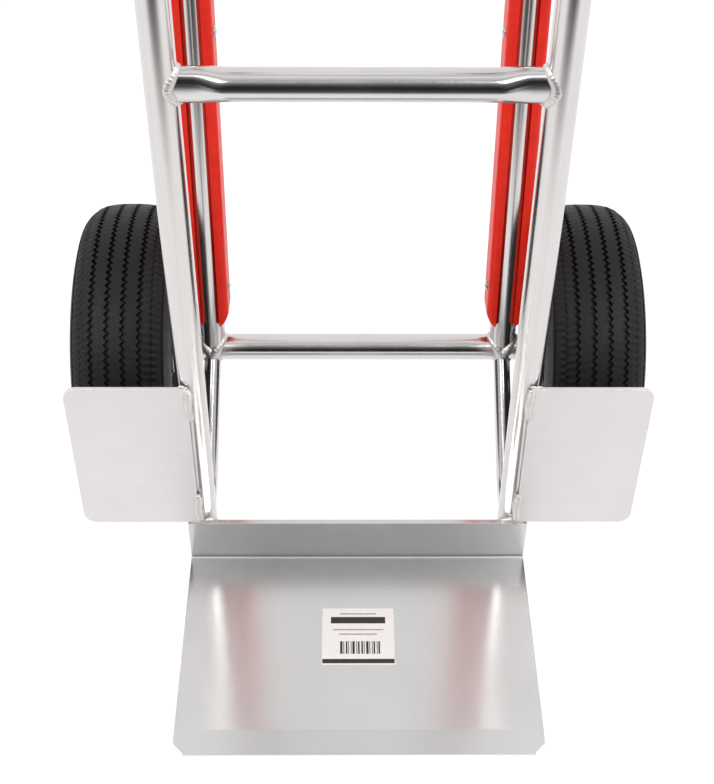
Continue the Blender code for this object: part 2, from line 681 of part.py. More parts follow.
def grip(name, side, material):
    """Hand grip with a closed end and a knuckle bow on its outer side."""
    centre = Vector((side * tube_x, 0, HANDLE_HEIGHT))
    tube_end = front_y + HANDLE_BEND + HANDLE_REACH
    back = tube_end + WELD_GAP + GRIP_END
    front = back - GRIP_LENGTH
    bore = tube_radius + CLIP_GAP
    collar = grip_radius + GRIP_COLLAR
    profile = [
        (front, bore), (front, collar), (front + GRIP_COLLAR_WIDTH, collar),
        (front + GRIP_COLLAR_WIDTH, grip_radius), (back - GRIP_BEVEL, grip_radius),
        (back, grip_radius - GRIP_BEVEL),
        (back, 0.0), (back - GRIP_END, 0.0), (back - GRIP_END, bore),
    ]
    bm = bmesh.new()
    verts = [bm.verts.new(centre + Vector((0, y, radius))) for y, radius in profile]
    edges = [bm.edges.new(pair) for pair in zip(verts, verts[1:] + verts[:1])]
    bmesh.ops.spin(bm, geom=verts + edges, cent=centre, axis=(0, 1, 0), angle=2 * math.pi, steps=16,
                   use_merge=True)
    bmesh.ops.remove_doubles(bm, verts=bm.verts, dist=MERGE_DISTANCE)
    bmesh.ops.delete(bm, geom=[e for e in bm.edges if not e.link_faces], context="EDGES")
    sleeve_object = add_object(name, bm, material)
    combine(sleeve_object, knuckle_bow(f"{name}_bow", centre, side, front, back), "UNION")
    return sleeve_object


def knuckle_bow(name, centre, side, front, back):
    """Bow from the collar out and back to the grip's end, made level and then set in place."""
    root = grip_radius - BOW_ROOT
    out = BOW_REACH - BOW_CORNER - root
    along = back - front - 2 * BOW_INSET - 2 * BOW_RADIUS - 2 * BOW_CORNER
    corner = (BOW_CORNER, math.pi / 2, 4)
    bm = run_tube((0, 0, 0), (0, 0, 1), [out, corner, along, corner, out], BOW_RADIUS, 0, 8)
    turn = Matrix(((0, 0, side, 0), (0, -1, 0, 0), (1, 0, 0, 0), (0, 0, 0, 1)))
    foot = Vector((centre.x + side * root, front + BOW_INSET + BOW_RADIUS, centre.z))
    bmesh.ops.transform(bm, matrix=Matrix.Translation(foot) @ turn, verts=bm.verts)
    return add_cutter(name, bm)


# ---- assembly ---------------------------------------------------------------------------

def build_frame(materials):
    alloy, sheet = materials["aluminium"], materials["plate"]
    front_cutters = {side: front_tube_cutter(side) for side in (-1, 1)}
    bar_cutter = axle_bar_cutter()
    toe_plate(sheet)
    axle_bar(alloy)
    for name, height in load_bar_heights.items():
        crossbar(name, height, alloy, list(front_cutters.values()))
    for label, side in (("left", -1), ("right", 1)):
        cutters = [bar_cutter, front_cutters[side]]
        front_tube(f"{label}_front_tube", side, alloy)
        glide_tube(f"{label}_glide_tube", side, alloy, cutters)
        lower_brace(f"{label}_lower_brace", side, alloy, cutters + [glide_cutter(side)])
        wheel_guard(f"{label}_wheel_guard", side, sheet)


def build_axle(materials):
    steel = materials["steel"]
    axle(steel, [pin_hole(side) for side in (-1, 1)])
    spacer_radius = axle_radius + SPACER_WALL
    outer_start = hub_outer_x + WELD_GAP
    for label, side in (("left", -1), ("right", 1)):
        sleeve(f"{label}_axle_spacer", side, spacer_start, SPACER_LENGTH, spacer_radius, steel)
        sleeve(f"{label}_inner_washer", side, inner_washer_start, WASHER_THICKNESS, WASHER_RADIUS, steel)
        sleeve(f"{label}_outer_washer", side, outer_start, WASHER_THICKNESS, WASHER_RADIUS, steel)
        split_pin(f"{label}_split_pin", side, steel)


def build_fittings(materials):
    for label, side in (("left", -1), ("right", 1)):
        holes = [
            rivet_hole(f"{label}_rivet_hole_{i + 1}", side, along)
            for i, along in enumerate(SLIDER_RIVETS)
        ]
        slider(f"{label}_stair_slider", side, materials["slider"], holes)
        for i, along in enumerate(SLIDER_RIVETS):
            rivet(f"{label}_slider_rivet_{i + 1}", side, along, materials["steel"])
        grip(f"{label}_grip", side, materials["grip"])
        wheel_assembly(label, side, materials)


def main():
    for thing in list(bpy.data.objects):
        bpy.data.objects.remove(thing, do_unlink=True)
    materials = make_materials()
    build_frame(materials)
    build_axle(materials)
    build_fittings(materials)


main()
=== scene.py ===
import math

import bmesh
import bpy
from mathutils import Matrix, Vector


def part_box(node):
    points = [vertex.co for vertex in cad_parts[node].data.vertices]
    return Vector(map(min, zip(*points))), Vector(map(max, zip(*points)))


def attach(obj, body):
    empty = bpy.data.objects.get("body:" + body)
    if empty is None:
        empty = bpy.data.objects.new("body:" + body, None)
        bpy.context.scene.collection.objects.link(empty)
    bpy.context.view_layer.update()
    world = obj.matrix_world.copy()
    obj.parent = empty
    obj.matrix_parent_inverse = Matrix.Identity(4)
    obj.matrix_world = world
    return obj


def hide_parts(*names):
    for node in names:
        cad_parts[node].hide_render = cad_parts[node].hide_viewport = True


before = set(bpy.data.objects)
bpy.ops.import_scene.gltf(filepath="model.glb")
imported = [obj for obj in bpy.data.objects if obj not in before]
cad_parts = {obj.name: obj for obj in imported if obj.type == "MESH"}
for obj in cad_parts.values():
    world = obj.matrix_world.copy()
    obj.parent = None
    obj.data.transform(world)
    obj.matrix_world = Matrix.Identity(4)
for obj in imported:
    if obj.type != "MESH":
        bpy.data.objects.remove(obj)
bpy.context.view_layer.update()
scene = bpy.context.scene
sides = {"left": -1, "right": 1}
mergeDistance = 0.000002

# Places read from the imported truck
barLow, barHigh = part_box("axle_crossbar")
tubeRadius = (barHigh.z - barLow.z) / 2
axleY = (barLow.y + barHigh.y) / 2
axleZ = (barLow.z + barHigh.z) / 2
frontLow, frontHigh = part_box("right_front_tube")
frontX = (frontLow.x + frontHigh.x) / 2
frontY = frontLow.y + tubeRadius
gripZ = frontHigh.z - tubeRadius
tyreLow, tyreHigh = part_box("right_tyre")
wheelX = (tyreLow.x + tyreHigh.x) / 2
wheelRadius = (tyreHigh.z - tyreLow.z) / 2
tyreHalf = (tyreHigh.x - tyreLow.x) / 2
toeLow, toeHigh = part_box("toe_plate")
print("frame loaded:", len(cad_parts), "nodes")


def linear(hexColour):
    parts = [int(hexColour[i:i + 2], 16) / 255 for i in (1, 3, 5)]
    return [c / 12.92 if c <= 0.04045 else ((c + 0.055) / 1.055) ** 2.4 for c in parts] + [1.0]


def addNode(tree, kind, settings=None, links=None):
    node = tree.nodes.new(kind)
    for key, value in (settings or {}).items():
        if key == "stops":
            for element, (position, colour) in zip(node.color_ramp.elements, value):
                element.position, element.color = position, colour
        elif isinstance(key, str) and key in node.bl_rna.properties:
            setattr(node, key, value)
        else:
            node.inputs[key].default_value = value
    for key, source in (links or {}).items():
        tree.links.new(source, node.inputs[key])
    return node


def startMaterial(name, settings):
    material = bpy.data.materials.new(name)
    material.use_nodes = True
    shader = material.node_tree.nodes["Principled BSDF"]
    for key, value in settings.items():
        shader.inputs[key].default_value = value
    return material, material.node_tree, shader


def grey(value):
    return (value, value, value, 1.0)


def brushedMetal(name, colours, roughness, coordinates, scale, clouds, bump, anisotropic=0.0, metallic=1.0):
    # Streaks run the way the metal was drawn or rolled: scale is lines per metre on each axis
    material, tree, shader = startMaterial(name, {"Metallic": metallic, "Anisotropic": anisotropic})
    if coordinates == "straight":
        place = addNode(tree, "ShaderNodeAttribute", {"attribute_name": "straight"}).outputs["Vector"]
    else:
        place = addNode(tree, "ShaderNodeTexCoord").outputs["Object"]
    stretched = addNode(tree, "ShaderNodeMapping", {"Scale": scale}, {"Vector": place})
    streaks = addNode(tree, "ShaderNodeTexNoise", {"Scale": 1.0, "Detail": 4.0, "Roughness": 0.6},
                      {"Vector": stretched.outputs["Vector"]})
    cloud = addNode(tree, "ShaderNodeTexNoise", {"Scale": clouds, "Detail": 5.0, "Roughness": 0.55},
                    {"Vector": place})
    tones = tuple(zip((0.35, 0.65), map(linear, colours)))
    tone = addNode(tree, "ShaderNodeValToRGB", {"stops": tones}, {"Fac": streaks.outputs["Fac"]})
    patch = addNode(tree, "ShaderNodeValToRGB", {"stops": ((0.3, grey(0.95)), (0.6, grey(1.0)))},
                    {"Fac": cloud.outputs["Fac"]})
    mixed = addNode(tree, "ShaderNodeMix", {"data_type": "RGBA", "blend_type": "MULTIPLY", 0: 1.0},
                    {6: tone.outputs["Color"], 7: patch.outputs["Color"]})
    tree.links.new(mixed.outputs[2], shader.inputs["Base Color"])
    both = addNode(tree, "ShaderNodeMath", {"operation": "MULTIPLY"},
                   {0: streaks.outputs["Fac"], 1: cloud.outputs["Fac"]})
    rough = addNode(tree, "ShaderNodeMapRange", {"From Min": 0.1, "From Max": 0.4,
                    "To Min": roughness[0], "To Max": roughness[1]}, {"Value": both.outputs["Value"]})
    tree.links.new(rough.outputs["Result"], shader.inputs["Roughness"])
    relief = addNode(tree, "ShaderNodeBump", {"Strength": bump, "Distance": 0.0002},
                     {"Height": streaks.outputs["Fac"]})
    tree.links.new(relief.outputs["Normal"], shader.inputs["Normal"])
    if anisotropic:
        grainWay = addNode(tree, "ShaderNodeCombineXYZ", {"Y": 1.0, "Z": 1.0})
        tree.links.new(grainWay.outputs["Vector"], shader.inputs["Tangent"])
    return material


def mottled(name, colours, roughness, size, bump, depth, settings=None, grain=0.6):
    # Moulded, painted and cast surfaces: size is the mottle's width in metres
    material, tree, shader = startMaterial(name, settings or {})
    place = addNode(tree, "ShaderNodeTexCoord").outputs["Object"]
    noise = addNode(tree, "ShaderNodeTexNoise", {"Scale": 1 / size, "Detail": 6.0, "Roughness": grain},
                    {"Vector": place})
    wide = addNode(tree, "ShaderNodeTexNoise", {"Scale": 0.12 / size, "Detail": 3.0}, {"Vector": place})
    tones = tuple(zip((0.35, 0.65), map(linear, colours)))
    tone = addNode(tree, "ShaderNodeValToRGB", {"stops": tones}, {"Fac": wide.outputs["Fac"]})
    tree.links.new(tone.outputs["Color"], shader.inputs["Base Color"])
    rough = addNode(tree, "ShaderNodeMapRange", {"From Min": 0.3, "From Max": 0.7,
                    "To Min": roughness[0], "To Max": roughness[1]}, {"Value": wide.outputs["Fac"]})
    tree.links.new(rough.outputs["Result"], shader.inputs["Roughness"])
    relief = addNode(tree, "ShaderNodeBump", {"Strength": bump, "Distance": depth},
                     {"Height": noise.outputs["Fac"]})
    tree.links.new(relief.outputs["Normal"], shader.inputs["Normal"])
    return material


# Drawn aluminium: fine lines along the tube, soft bright reflections
drawnAluminium = brushedMetal("drawnAluminium", ("#d6d3d2", "#dddad9"), (0.13, 0.22), "straight",
                              (900, 900, 6), 14, 0.06)
# Rolled aluminium plate, bent cold: rolling lines from the flange to the front edge, greyer than the tubes
rolledAluminium = brushedMetal("rolledAluminium", ("#d3d2d2", "#d5d4d3"), (0.225, 0.24), "object",
                               (430, 7, 7), 9, 0.0, 0.8, 0.84)
# Sheared aluminium sheet left as it comes from the mill: pale, flat and a little cloudy
millAluminium = brushedMetal("millAluminium", ("#e4e0e0", "#e7e3e3"), (0.44, 0.5), "object",
                             (12, 12, 500), 16, 0.012)
# Weld metal: bright, frozen in ripples
weldAluminium = mottled("weldAluminium", ("#d6d3d2", "#e4e1e0"), (0.42, 0.55), 0.0016, 0.15, 0.0002,
                        {"Metallic": 1.0})
# Injection-moulded polypropylene: strong red with a low, even gloss
redPolypropylene = mottled("redPolypropylene", ("#e8200c", "#f02812"), (0.34, 0.46), 0.0012, 0.12, 0.0002,
                           {"IOR": 1.45, "Specular IOR Level": 0.32})
# Vulcanised rubber: carbon black, dull with a faint bloom
tyreRubber = mottled("tyreRubber", ("#080808", "#0f0f0e"), (0.48, 0.62), 0.0009, 0.22, 0.0002,
                     {"IOR": 1.5, "Specular IOR Level": 0.3})
# Moulded butyl rubber of the valves: smoother and a little greyer
butylRubber = mottled("butylRubber", ("#141414", "#1e1e1e"), (0.5, 0.65), 0.0007, 0.2, 0.0001, {"IOR": 1.52})
# Steel pressing with baked enamel: black, glossy, slight orange peel
blackEnamel = mottled("blackEnamel", ("#0f0f10", "#17181a"), (0.22, 0.34), 0.0022, 0.2, 0.0002,
                      {"IOR": 1.5, "Coat Weight": 0.4, "Coat Roughness": 0.12}, 0.4)
# Zinc-plated steel: bluish grey with crystalline patches
zincSteel = mottled("zincSteel", ("#b4b6b9", "#cfd1d3"), (0.24, 0.42), 0.0011, 0.2, 0.0001, {"Metallic": 1.0})
# Moulded PVC of the hand grips: matt black with a fine leathery grain
gripPvc = mottled("gripPvc", ("#151515", "#1f1f20"), (0.48, 0.6), 0.0008, 0.45, 0.0002, {"IOR": 1.5})
# Coated paper, slightly warm, and two inks printed on it in a thin even film
coatedPaper, printedInk, greyInk = (
    mottled(name, colours, roughness, 0.0004, 0.05, 0.0001, {"IOR": 1.45})
    for name, colours, roughness in (
        ("coatedPaper", ("#efe9e6", "#f3eeeb"), (0.34, 0.42)),
        ("printedInk", ("#262525", "#2e2d2d"), (0.36, 0.46)),
        ("greyInk", ("#9b9896", "#a5a2a0"), (0.36, 0.46))))
print("materials made")


def finishPiece(name, bm, material, body="frame", replaced=(), sharp=34, weighted=False):
    bmesh.ops.remove_doubles(bm, verts=bm.verts, dist=mergeDistance)
    bmesh.ops.recalc_face_normals(bm, faces=bm.faces)
    mesh = bpy.data.meshes.new(name)
    bm.to_mesh(mesh)
    bm.free()
    mesh.materials.append(material)
    mesh.shade_smooth()
    mesh.set_sharp_from_angle(angle=math.radians(sharp))
    piece = bpy.data.objects.new(name, mesh)
    scene.collection.objects.link(piece)
    if weighted:
        normals = piece.modifiers.new("flatFaces", "WEIGHTED_NORMAL")
        normals.keep_sharp = True
    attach(piece, body)
    if replaced:
        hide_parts(*replaced)
    return piece


def newStraight(bm):
    # Keeps each point's place along and round the straight tube, so that the drawn lines follow its bends
    layer = bm.verts.layers.float_vector.new("straight")
    for vert in bm.verts:
        vert[layer] = vert.co
    return bm


def bevelEdges(bm, edges, offset, segments=2, clamp=False):
    bmesh.ops.bevel(bm, geom=list(edges), offset=offset, affect="EDGES", segments=segments, profile=0.5,
                    material=-1, clamp_overlap=clamp)


def drawOut(bm, rims, stations):
    # Pulls the open rims from station to station and hands back the last ones
    for low, high in zip(stations, stations[1:]):
        made = bmesh.ops.extrude_edge_only(bm, edges=rims)["geom"]
        verts = {g for g in made if isinstance(g, bmesh.types.BMVert)}
        bmesh.ops.translate(bm, verts=list(verts), vec=(0, 0, high - low))
        rims = [g for g in made if isinstance(g, bmesh.types.BMEdge) and set(g.verts) <= verts]
    return rims


def straightTube(stations, radius, wall, around=64):
    bm = bmesh.new()
    place = Matrix.Translation((0, 0, stations[0]))
    rings = [bmesh.ops.create_circle(bm, segments=around, radius=r, matrix=place)["verts"]
             for r in (radius, radius - wall)]
    firstRims = list({edge for ring in rings for vert in ring for edge in vert.link_edges})
    lastRims = drawOut(bm, firstRims, stations)
    bmesh.ops.bridge_loops(bm, edges=firstRims)
    bmesh.ops.bridge_loops(bm, edges=lastRims)
    return newStraight(bm)


def straightRod(stations, radius, around=24, chamfer=0.0006):
    bm = bmesh.new()
    place = Matrix.Translation((0, 0, stations[0]))
    made = bmesh.ops.create_circle(bm, cap_ends=True, segments=around, radius=radius, matrix=place)
    rims = list({edge for vert in made["verts"] for edge in vert.link_edges})
    bmesh.ops.contextual_create(bm, geom=drawOut(bm, rims, stations))
    ends = [face for face in bm.faces if len(face.verts) == around]
    bevelEdges(bm, {edge for face in ends for edge in face.edges}, chamfer)
    return newStraight(bm)


def stationsFor(length, bends, coarse=0.06, fine=0.004):
    # Ring places: close together through each bend, far apart on the straights
    marks = [0.0, length]
    for start, radius, angle in bends:
        stretch = radius * abs(angle)
        count = max(2, round(stretch / fine))
        marks += [start + stretch * i / count for i in range(count + 1)]
    marks = sorted(set(round(m, 7) for m in marks))
    full = []
    for low, high in zip(marks, marks[1:]):
        count = max(1, math.ceil((high - low) / coarse))
        full += [low + (high - low) * i / count for i in range(count)]
    return full + [marks[-1]]


def bendTube(bm, bends):
    # Each bend turns what lies past its start about a line along X; a positive angle turns to the front
    layer = bm.verts.layers.float_vector["straight"]
    for start, radius, angle in reversed(bends):
        centre = Vector((0, -math.copysign(radius, angle), start))
        for vert in bm.verts:
            run = min(max(vert[layer].z - start, 0.0), radius * abs(angle))
            turn = Matrix.Rotation(math.copysign(run / radius, angle), 3, "X")
            vert.co = centre + turn @ (vert.co - Vector((0, 0, run)) - centre)


def placed(bm, matrix):
    bmesh.ops.transform(bm, matrix=matrix, verts=bm.verts)
    return bm


def softCorners(points, radius, steps=3, closed=True):
    # Rounds each corner of a turned or extruded section
    rounded = []
    count = len(points)
    for i, point in enumerate(points):
        here = Vector(point)
        if not closed and i in (0, count - 1):
            rounded.append(tuple(here))
            continue
        before, after = Vector(points[i - 1]), Vector(points[(i + 1) % count])
        cut = min(radius, (before - here).length * 0.45, (after - here).length * 0.45)
        start = here + (before - here).normalized() * cut
        end = here + (after - here).normalized() * cut
        for step in range(steps + 1):
            t = step / steps
            rounded.append(tuple(start * (1 - t) ** 2 + here * 2 * t * (1 - t) + end * t ** 2))
    return rounded


def turned(section, centre, steps=64, closed=True, axis="X"):
    # Section points are (offset along the axis, radius)
    bm = bmesh.new()
    along = Vector((1, 0, 0)) if axis == "X" else Vector((0, 1, 0))
    middle = Vector(centre)
    verts = [bm.verts.new(middle + along * offset + Vector((0, 0, radius))) for offset, radius in section]
    pairs = list(zip(verts, verts[1:])) + ([(verts[-1], verts[0])] if closed else [])
    edges = [bm.edges.new(pair) for pair in pairs]
    bmesh.ops.spin(bm, geom=verts + edges, cent=centre, axis=along, angle=2 * math.pi, steps=steps,
                   use_merge=True)
    bmesh.ops.remove_doubles(bm, verts=bm.verts, dist=mergeDistance)
    return bm


rearTube = {"x": 0.1325, "lean": math.radians(7), "straight": 0.480, "bend": 0.085,
            "climb": math.radians(45), "buried": 0.55}
brace = {"radius": 0.0075, "wall": 0.0018, "slope": math.radians(47), "drop": 0.118, "bend": 0.042,
         "buried": 0.8}
handle = {"bend": 0.080}
tubeWall = 0.002
glideDirection = Vector((0, math.sin(rearTube["lean"]), math.cos(rearTube["lean"])))


def frontTube(label, side):
    rise = gripZ - handle["bend"] - frontLow.z
    reach = frontHigh.y - frontY - handle["bend"]
    bends = [(rise, handle["bend"], -math.pi / 2)]
    length = rise + handle["bend"] * math.pi / 2 + reach
    bm = straightTube(stationsFor(length, bends), tubeRadius, tubeWall, 72)
    bendTube(bm, bends)
    placed(bm, Matrix.Translation((side * frontX, frontY, frontLow.z)))
    finishPiece(f"{label}FrontTube", bm, drawnAluminium, replaced=[f"{label}_front_tube"])


def rearTubeShape(label, side):
    turn = rearTube["lean"] + rearTube["climb"]
    foot = Vector((side * rearTube["x"], axleY, axleZ))
    top = foot + glideDirection * rearTube["straight"]
    shift = rearTube["bend"] * (math.cos(rearTube["lean"]) - math.cos(rearTube["climb"]))
    climb = (top.y - shift - frontY) / math.sin(rearTube["climb"])
    buried = tubeRadius * rearTube["buried"]
    bends = [(rearTube["straight"] - buried, rearTube["bend"], turn)]
    length = rearTube["straight"] + rearTube["bend"] * turn + climb - 2 * buried
    bm = straightTube(stationsFor(length, bends), tubeRadius, tubeWall, 64)
    bendTube(bm, bends)
    leaning = Matrix.Rotation(-rearTube["lean"], 4, "X")
    placed(bm, Matrix.Translation(foot + glideDirection * buried) @ leaning)
    finishPiece(f"{label}GlideTube", bm, drawnAluminium, replaced=[f"{label}_glide_tube"])


def braceShape(label, side):
    foot = Vector((side * rearTube["x"], axleY, axleZ))
    splay = Vector((side * (frontX - rearTube["x"]), frontY - axleY, 0))
    level = splay.length - brace["drop"] * math.cos(brace["slope"]) - brace["bend"] * math.sin(brace["slope"])
    buried = tubeRadius * brace["buried"]
    bends = [(brace["drop"] - buried, brace["bend"], -brace["slope"])]
    length = brace["drop"] + brace["bend"] * brace["slope"] + level - 2 * buried
    bm = straightTube(stationsFor(length, bends), brace["radius"], brace["wall"], 40)
    bendTube(bm, bends)
    heading = Vector((0, -math.cos(brace["slope"]), -math.sin(brace["slope"])))
    tilt = Matrix.Rotation(math.pi / 2 + brace["slope"], 4, "X")
    outwards = Vector((0, -1, 0)).rotation_difference(splay.normalized()).to_matrix().to_4x4()
    placed(bm, Matrix.Translation(foot) @ outwards @ Matrix.Translation(heading * buried) @ tilt)
    finishPiece(f"{label}LowerBrace", bm, drawnAluminium, replaced=[f"{label}_lower_brace"])


# The load bars are squeezed from front to back where they meet the front tubes
loadBar = {"squeezeStart": 0.044, "squeezeEnd": 0.014, "taller": 1.12, "thinner": 0.82, "flatter": 0.10,
           "buried": 0.0015, "rings": 60}


def squeezed(fromEnd):
    t = (loadBar["squeezeStart"] - fromEnd) / (loadBar["squeezeStart"] - loadBar["squeezeEnd"])
    t = min(max(t, 0.0), 1.0)
    return t * t * (3 - 2 * t)


def loadBarShape(name, node):
    low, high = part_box(node)
    height = (low.z + high.z) / 2
    rings = loadBar["rings"]
    marks = [frontX * i / rings for i in range(-rings, rings + 1)]
    bm = straightTube(marks, tubeRadius, tubeWall, 72)
    placed(bm, Matrix(((0, 0, 1, 0), (0, 1, 0, 0), (-1, 0, 0, 0), (0, 0, 0, 1))))
    for vert in bm.verts:
        squeeze = squeezed(frontX - abs(vert.co.x))
        facing = math.cos(math.atan2(vert.co.z, vert.co.y)) ** 4
        outside = math.hypot(vert.co.y, vert.co.z) > tubeRadius - tubeWall / 2
        flat = 1 - loadBar["flatter"] * squeeze * facing * outside
        vert.co.y *= (1 + (loadBar["thinner"] - 1) * squeeze) * flat
        vert.co.z *= 1 + (loadBar["taller"] - 1) * squeeze
        saddle = math.sqrt(max(tubeRadius ** 2 - vert.co.y ** 2, 0.0)) - loadBar["buried"]
        vert.co.x *= (frontX - saddle) / frontX
    placed(bm, Matrix.Translation((0, frontY, height)))
    finishPiece(name, bm, drawnAluminium, replaced=[node])


def axleBarShape():
    marks = [barHigh.x * i / 6 for i in range(-6, 7)]
    bm = straightTube(marks, tubeRadius, tubeWall, 72)
    placed(bm, Matrix.Translation((0, axleY, axleZ)) @ Matrix.Rotation(math.pi / 2, 4, "Y"))
    finishPiece("axleCrossbar", bm, drawnAluminium, replaced=["axle_crossbar"])


for label, side in sides.items():
    frontTube(label, side)
    rearTubeShape(label, side)
    braceShape(label, side)
loadBars = {"lowerLoadBar": "lower_load_bar", "middleLoadBar": "middle_load_bar",
            "upperLoadBar": "upper_load_bar"}
for name, node in loadBars.items():
    loadBarShape(name, node)
axleBarShape()
print("tubes made")


toe = {"thickness": 0.005, "bend": 0.003, "leadIn": 0.021, "edge": 0.002, "corner": 0.008, "soften": 0.0005}
guard = {"corner": 0.011, "soften": 0.0005}


def arcPoints(centre, radius, start, end, steps):
    angles = [math.radians(start + (end - start) * i / steps) for i in range(steps + 1)]
    return [(centre[0] + radius * math.cos(a), centre[1] + radius * math.sin(a)) for a in angles]


def everything(bm):
    return list(bm.verts) + list(bm.edges) + list(bm.faces)


def pushed(outline, depth):
    bm = bmesh.new()
    face = bm.faces.new([bm.verts.new(point) for point in outline])
    made = bmesh.ops.extrude_face_region(bm, geom=[face])["geom"]
    bmesh.ops.translate(bm, verts=[g for g in made if isinstance(g, bmesh.types.BMVert)], vec=depth)
    bmesh.ops.recalc_face_normals(bm, faces=bm.faces)
    return bm


def softenEdges(bm, offset, angle=40):
    edges = [e for e in bm.edges if e.is_manifold and e.calc_face_angle() > math.radians(angle)]
    bevelEdges(bm, edges, offset, clamp=True)


def toePlateShape():
    back, front, width = toeHigh.y, toeLow.y, toeHigh.x
    face = back - toe["thickness"]
    centre = (face - toe["bend"], toe["thickness"] + toe["bend"])
    inner = arcPoints(centre, toe["bend"], 0, -90, 20)
    outer = arcPoints(centre, toe["bend"] + toe["thickness"], -90, 0, 20)
    section = [(back, toeHigh.z), (face, toeHigh.z)] + inner
    section += [(front + toe["leadIn"], toe["thickness"]), (front, toe["edge"]), (front, 0)] + outer
    bm = pushed([(-width, y, z) for y, z in section], (2 * width, 0, 0))
    # The two front corners are cut off
    for side in sides.values():
        away = Vector((side, -1, 0)).normalized()
        corner = Vector((side * (width - toe["corner"]), front, 0))
        cut = bmesh.ops.bisect_plane(bm, geom=everything(bm), plane_co=corner, plane_no=away,
                                     clear_outer=True)
        rim = [g for g in cut["geom_cut"] if isinstance(g, bmesh.types.BMEdge)]
        bmesh.ops.contextual_create(bm, geom=rim)
    softenEdges(bm, toe["soften"])
    finishPiece("toePlate", bm, rolledAluminium, replaced=["toe_plate"], sharp=7,
                weighted=True)


def guardShape(label, side):
    low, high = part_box(f"{label}_wheel_guard")
    inner, outer = (low.x, high.x) if side > 0 else (high.x, low.x)
    reach = guard["corner"]
    lower = arcPoints((abs(outer) - reach, low.z + reach), reach, -90, 0, 12)
    upper = arcPoints((abs(outer) - reach, high.z - reach), reach, 0, 90, 12)
    outline = [(abs(inner), low.z)] + lower + upper + [(abs(inner), high.z)]
    bm = pushed([(side * x, high.y, z) for x, z in outline], (0, low.y - high.y, 0))
    softenEdges(bm, guard["soften"])
    finishPiece(f"{label}WheelGuard", bm, millAluminium, replaced=[f"{label}_wheel_guard"],
                sharp=50, weighted=True)


toePlateShape()
for label, side in sides.items():
    guardShape(label, side)
print("plates made")


bead = {"ring": 0.0046, "stitch": 0.0036, "thin": 0.0026, "small": 0.0015, "pitch": 0.0024, "swell": 0.07,
        "steps": 6, "sunk": 0.0021, "lump": 0.14, "bow": 0.0006}
guardWeld = {"top": 0.035, "foot": 0.034, "start": 0.001, "lap": 0.0004, "inset": 0.0012, "ledge": 0.009}
toeWeld = {"inset": 0.0012, "lift": 0.0006, "end": 0.001, "gap": 0.011, "across": 0.86, "behind": 0.0042,
           "top": 0.003, "foot": 0.012}


def seamRing(start, direction, mainPoint, mainAxis, radius, mainRadius, tall=1.0, flat=1.0, up=(0, 0, 1)):
    # The line where one tube's surface meets another's
    direction, mainAxis = Vector(direction).normalized(), Vector(mainAxis).normalized()
    across = Vector(up) - direction * Vector(up).dot(direction)
    across.normalize()
    other = direction.cross(across)
    count = round(2 * math.pi * radius / bead["pitch"]) * bead["steps"]
    sunk = bead["sunk"] * radius / mainRadius
    points = []
    for i in range(count):
        angle = 2 * math.pi * i / count
        offset = across * math.cos(angle) * radius * tall + other * math.sin(angle) * radius * flat
        apart = Vector(start) - Vector(mainPoint) + offset
        apart -= mainAxis * apart.dot(mainAxis)
        forward = direction - mainAxis * direction.dot(mainAxis)
        half = apart.dot(forward)
        under = max(half ** 2 - forward.length_squared * (apart.length_squared - mainRadius ** 2), 0.0)
        travel = (-half + math.sqrt(under)) / forward.length_squared
        points.append(Vector(start) + offset * (1 - sunk / radius) + direction * (travel - sunk))
    return points


def sweptWire(bm, points, radii, closed=False):
    # Sweeps a circle along the points; its radius may change from point to point
    curve = bpy.data.curves.new("wire", "CURVE")
    curve.dimensions = "3D"
    curve.bevel_depth = 1.0
    curve.bevel_resolution = 3
    curve.use_fill_caps = not closed
    spline = curve.splines.new("POLY")
    spline.points.add(len(points) - 1)
    spline.use_cyclic_u = closed
    for spot, point, radius in zip(spline.points, points, radii):
        spot.co = (*point, 1)
        spot.radius = radius
    holder = bpy.data.objects.new("wire", curve)
    scene.collection.objects.link(holder)
    mesh = bpy.data.meshes.new_from_object(holder.evaluated_get(bpy.context.evaluated_depsgraph_get()))
    bm.from_mesh(mesh)
    bpy.data.objects.remove(holder)
    bpy.data.curves.remove(curve)
    bpy.data.meshes.remove(mesh)


def addBead(bm, points, size, closed):
    # The bead's radius rises and drops once for each ripple
    radii = []
    for i in range(len(points)):
        phase = (i % bead["steps"]) / bead["steps"]
        ripple = 1 + bead["swell"] * (1 - phase) * (1 if phase > 0 else 0.4)
        wander = 1 + 0.05 * math.sin(i * 0.07) + 0.03 * math.sin(i * 0.19 + 1.0)
        ends = 1 + bead["lump"] * math.cos(2 * math.pi * i / len(points)) ** 8
        if not closed:
            nearest = min(i, len(points) - 1 - i) / bead["steps"]
            ends = min(1.0, 0.45 + 0.4 * nearest)
        radii.append(size * ripple * wander * ends)
    sweptWire(bm, points, radii, closed)


def stitch(start, end):
    # A short bead that wanders a little to either side of its line
    start, end = Vector(start), Vector(end)
    count = max(2, round((end - start).length / bead["pitch"])) * bead["steps"]
    bow = (end - start).cross(Vector((0, 1, 0))).normalized() * bead["bow"]
    return [start.lerp(end, i / count) + bow * math.sin(9 * i / count) for i in range(count + 1)]


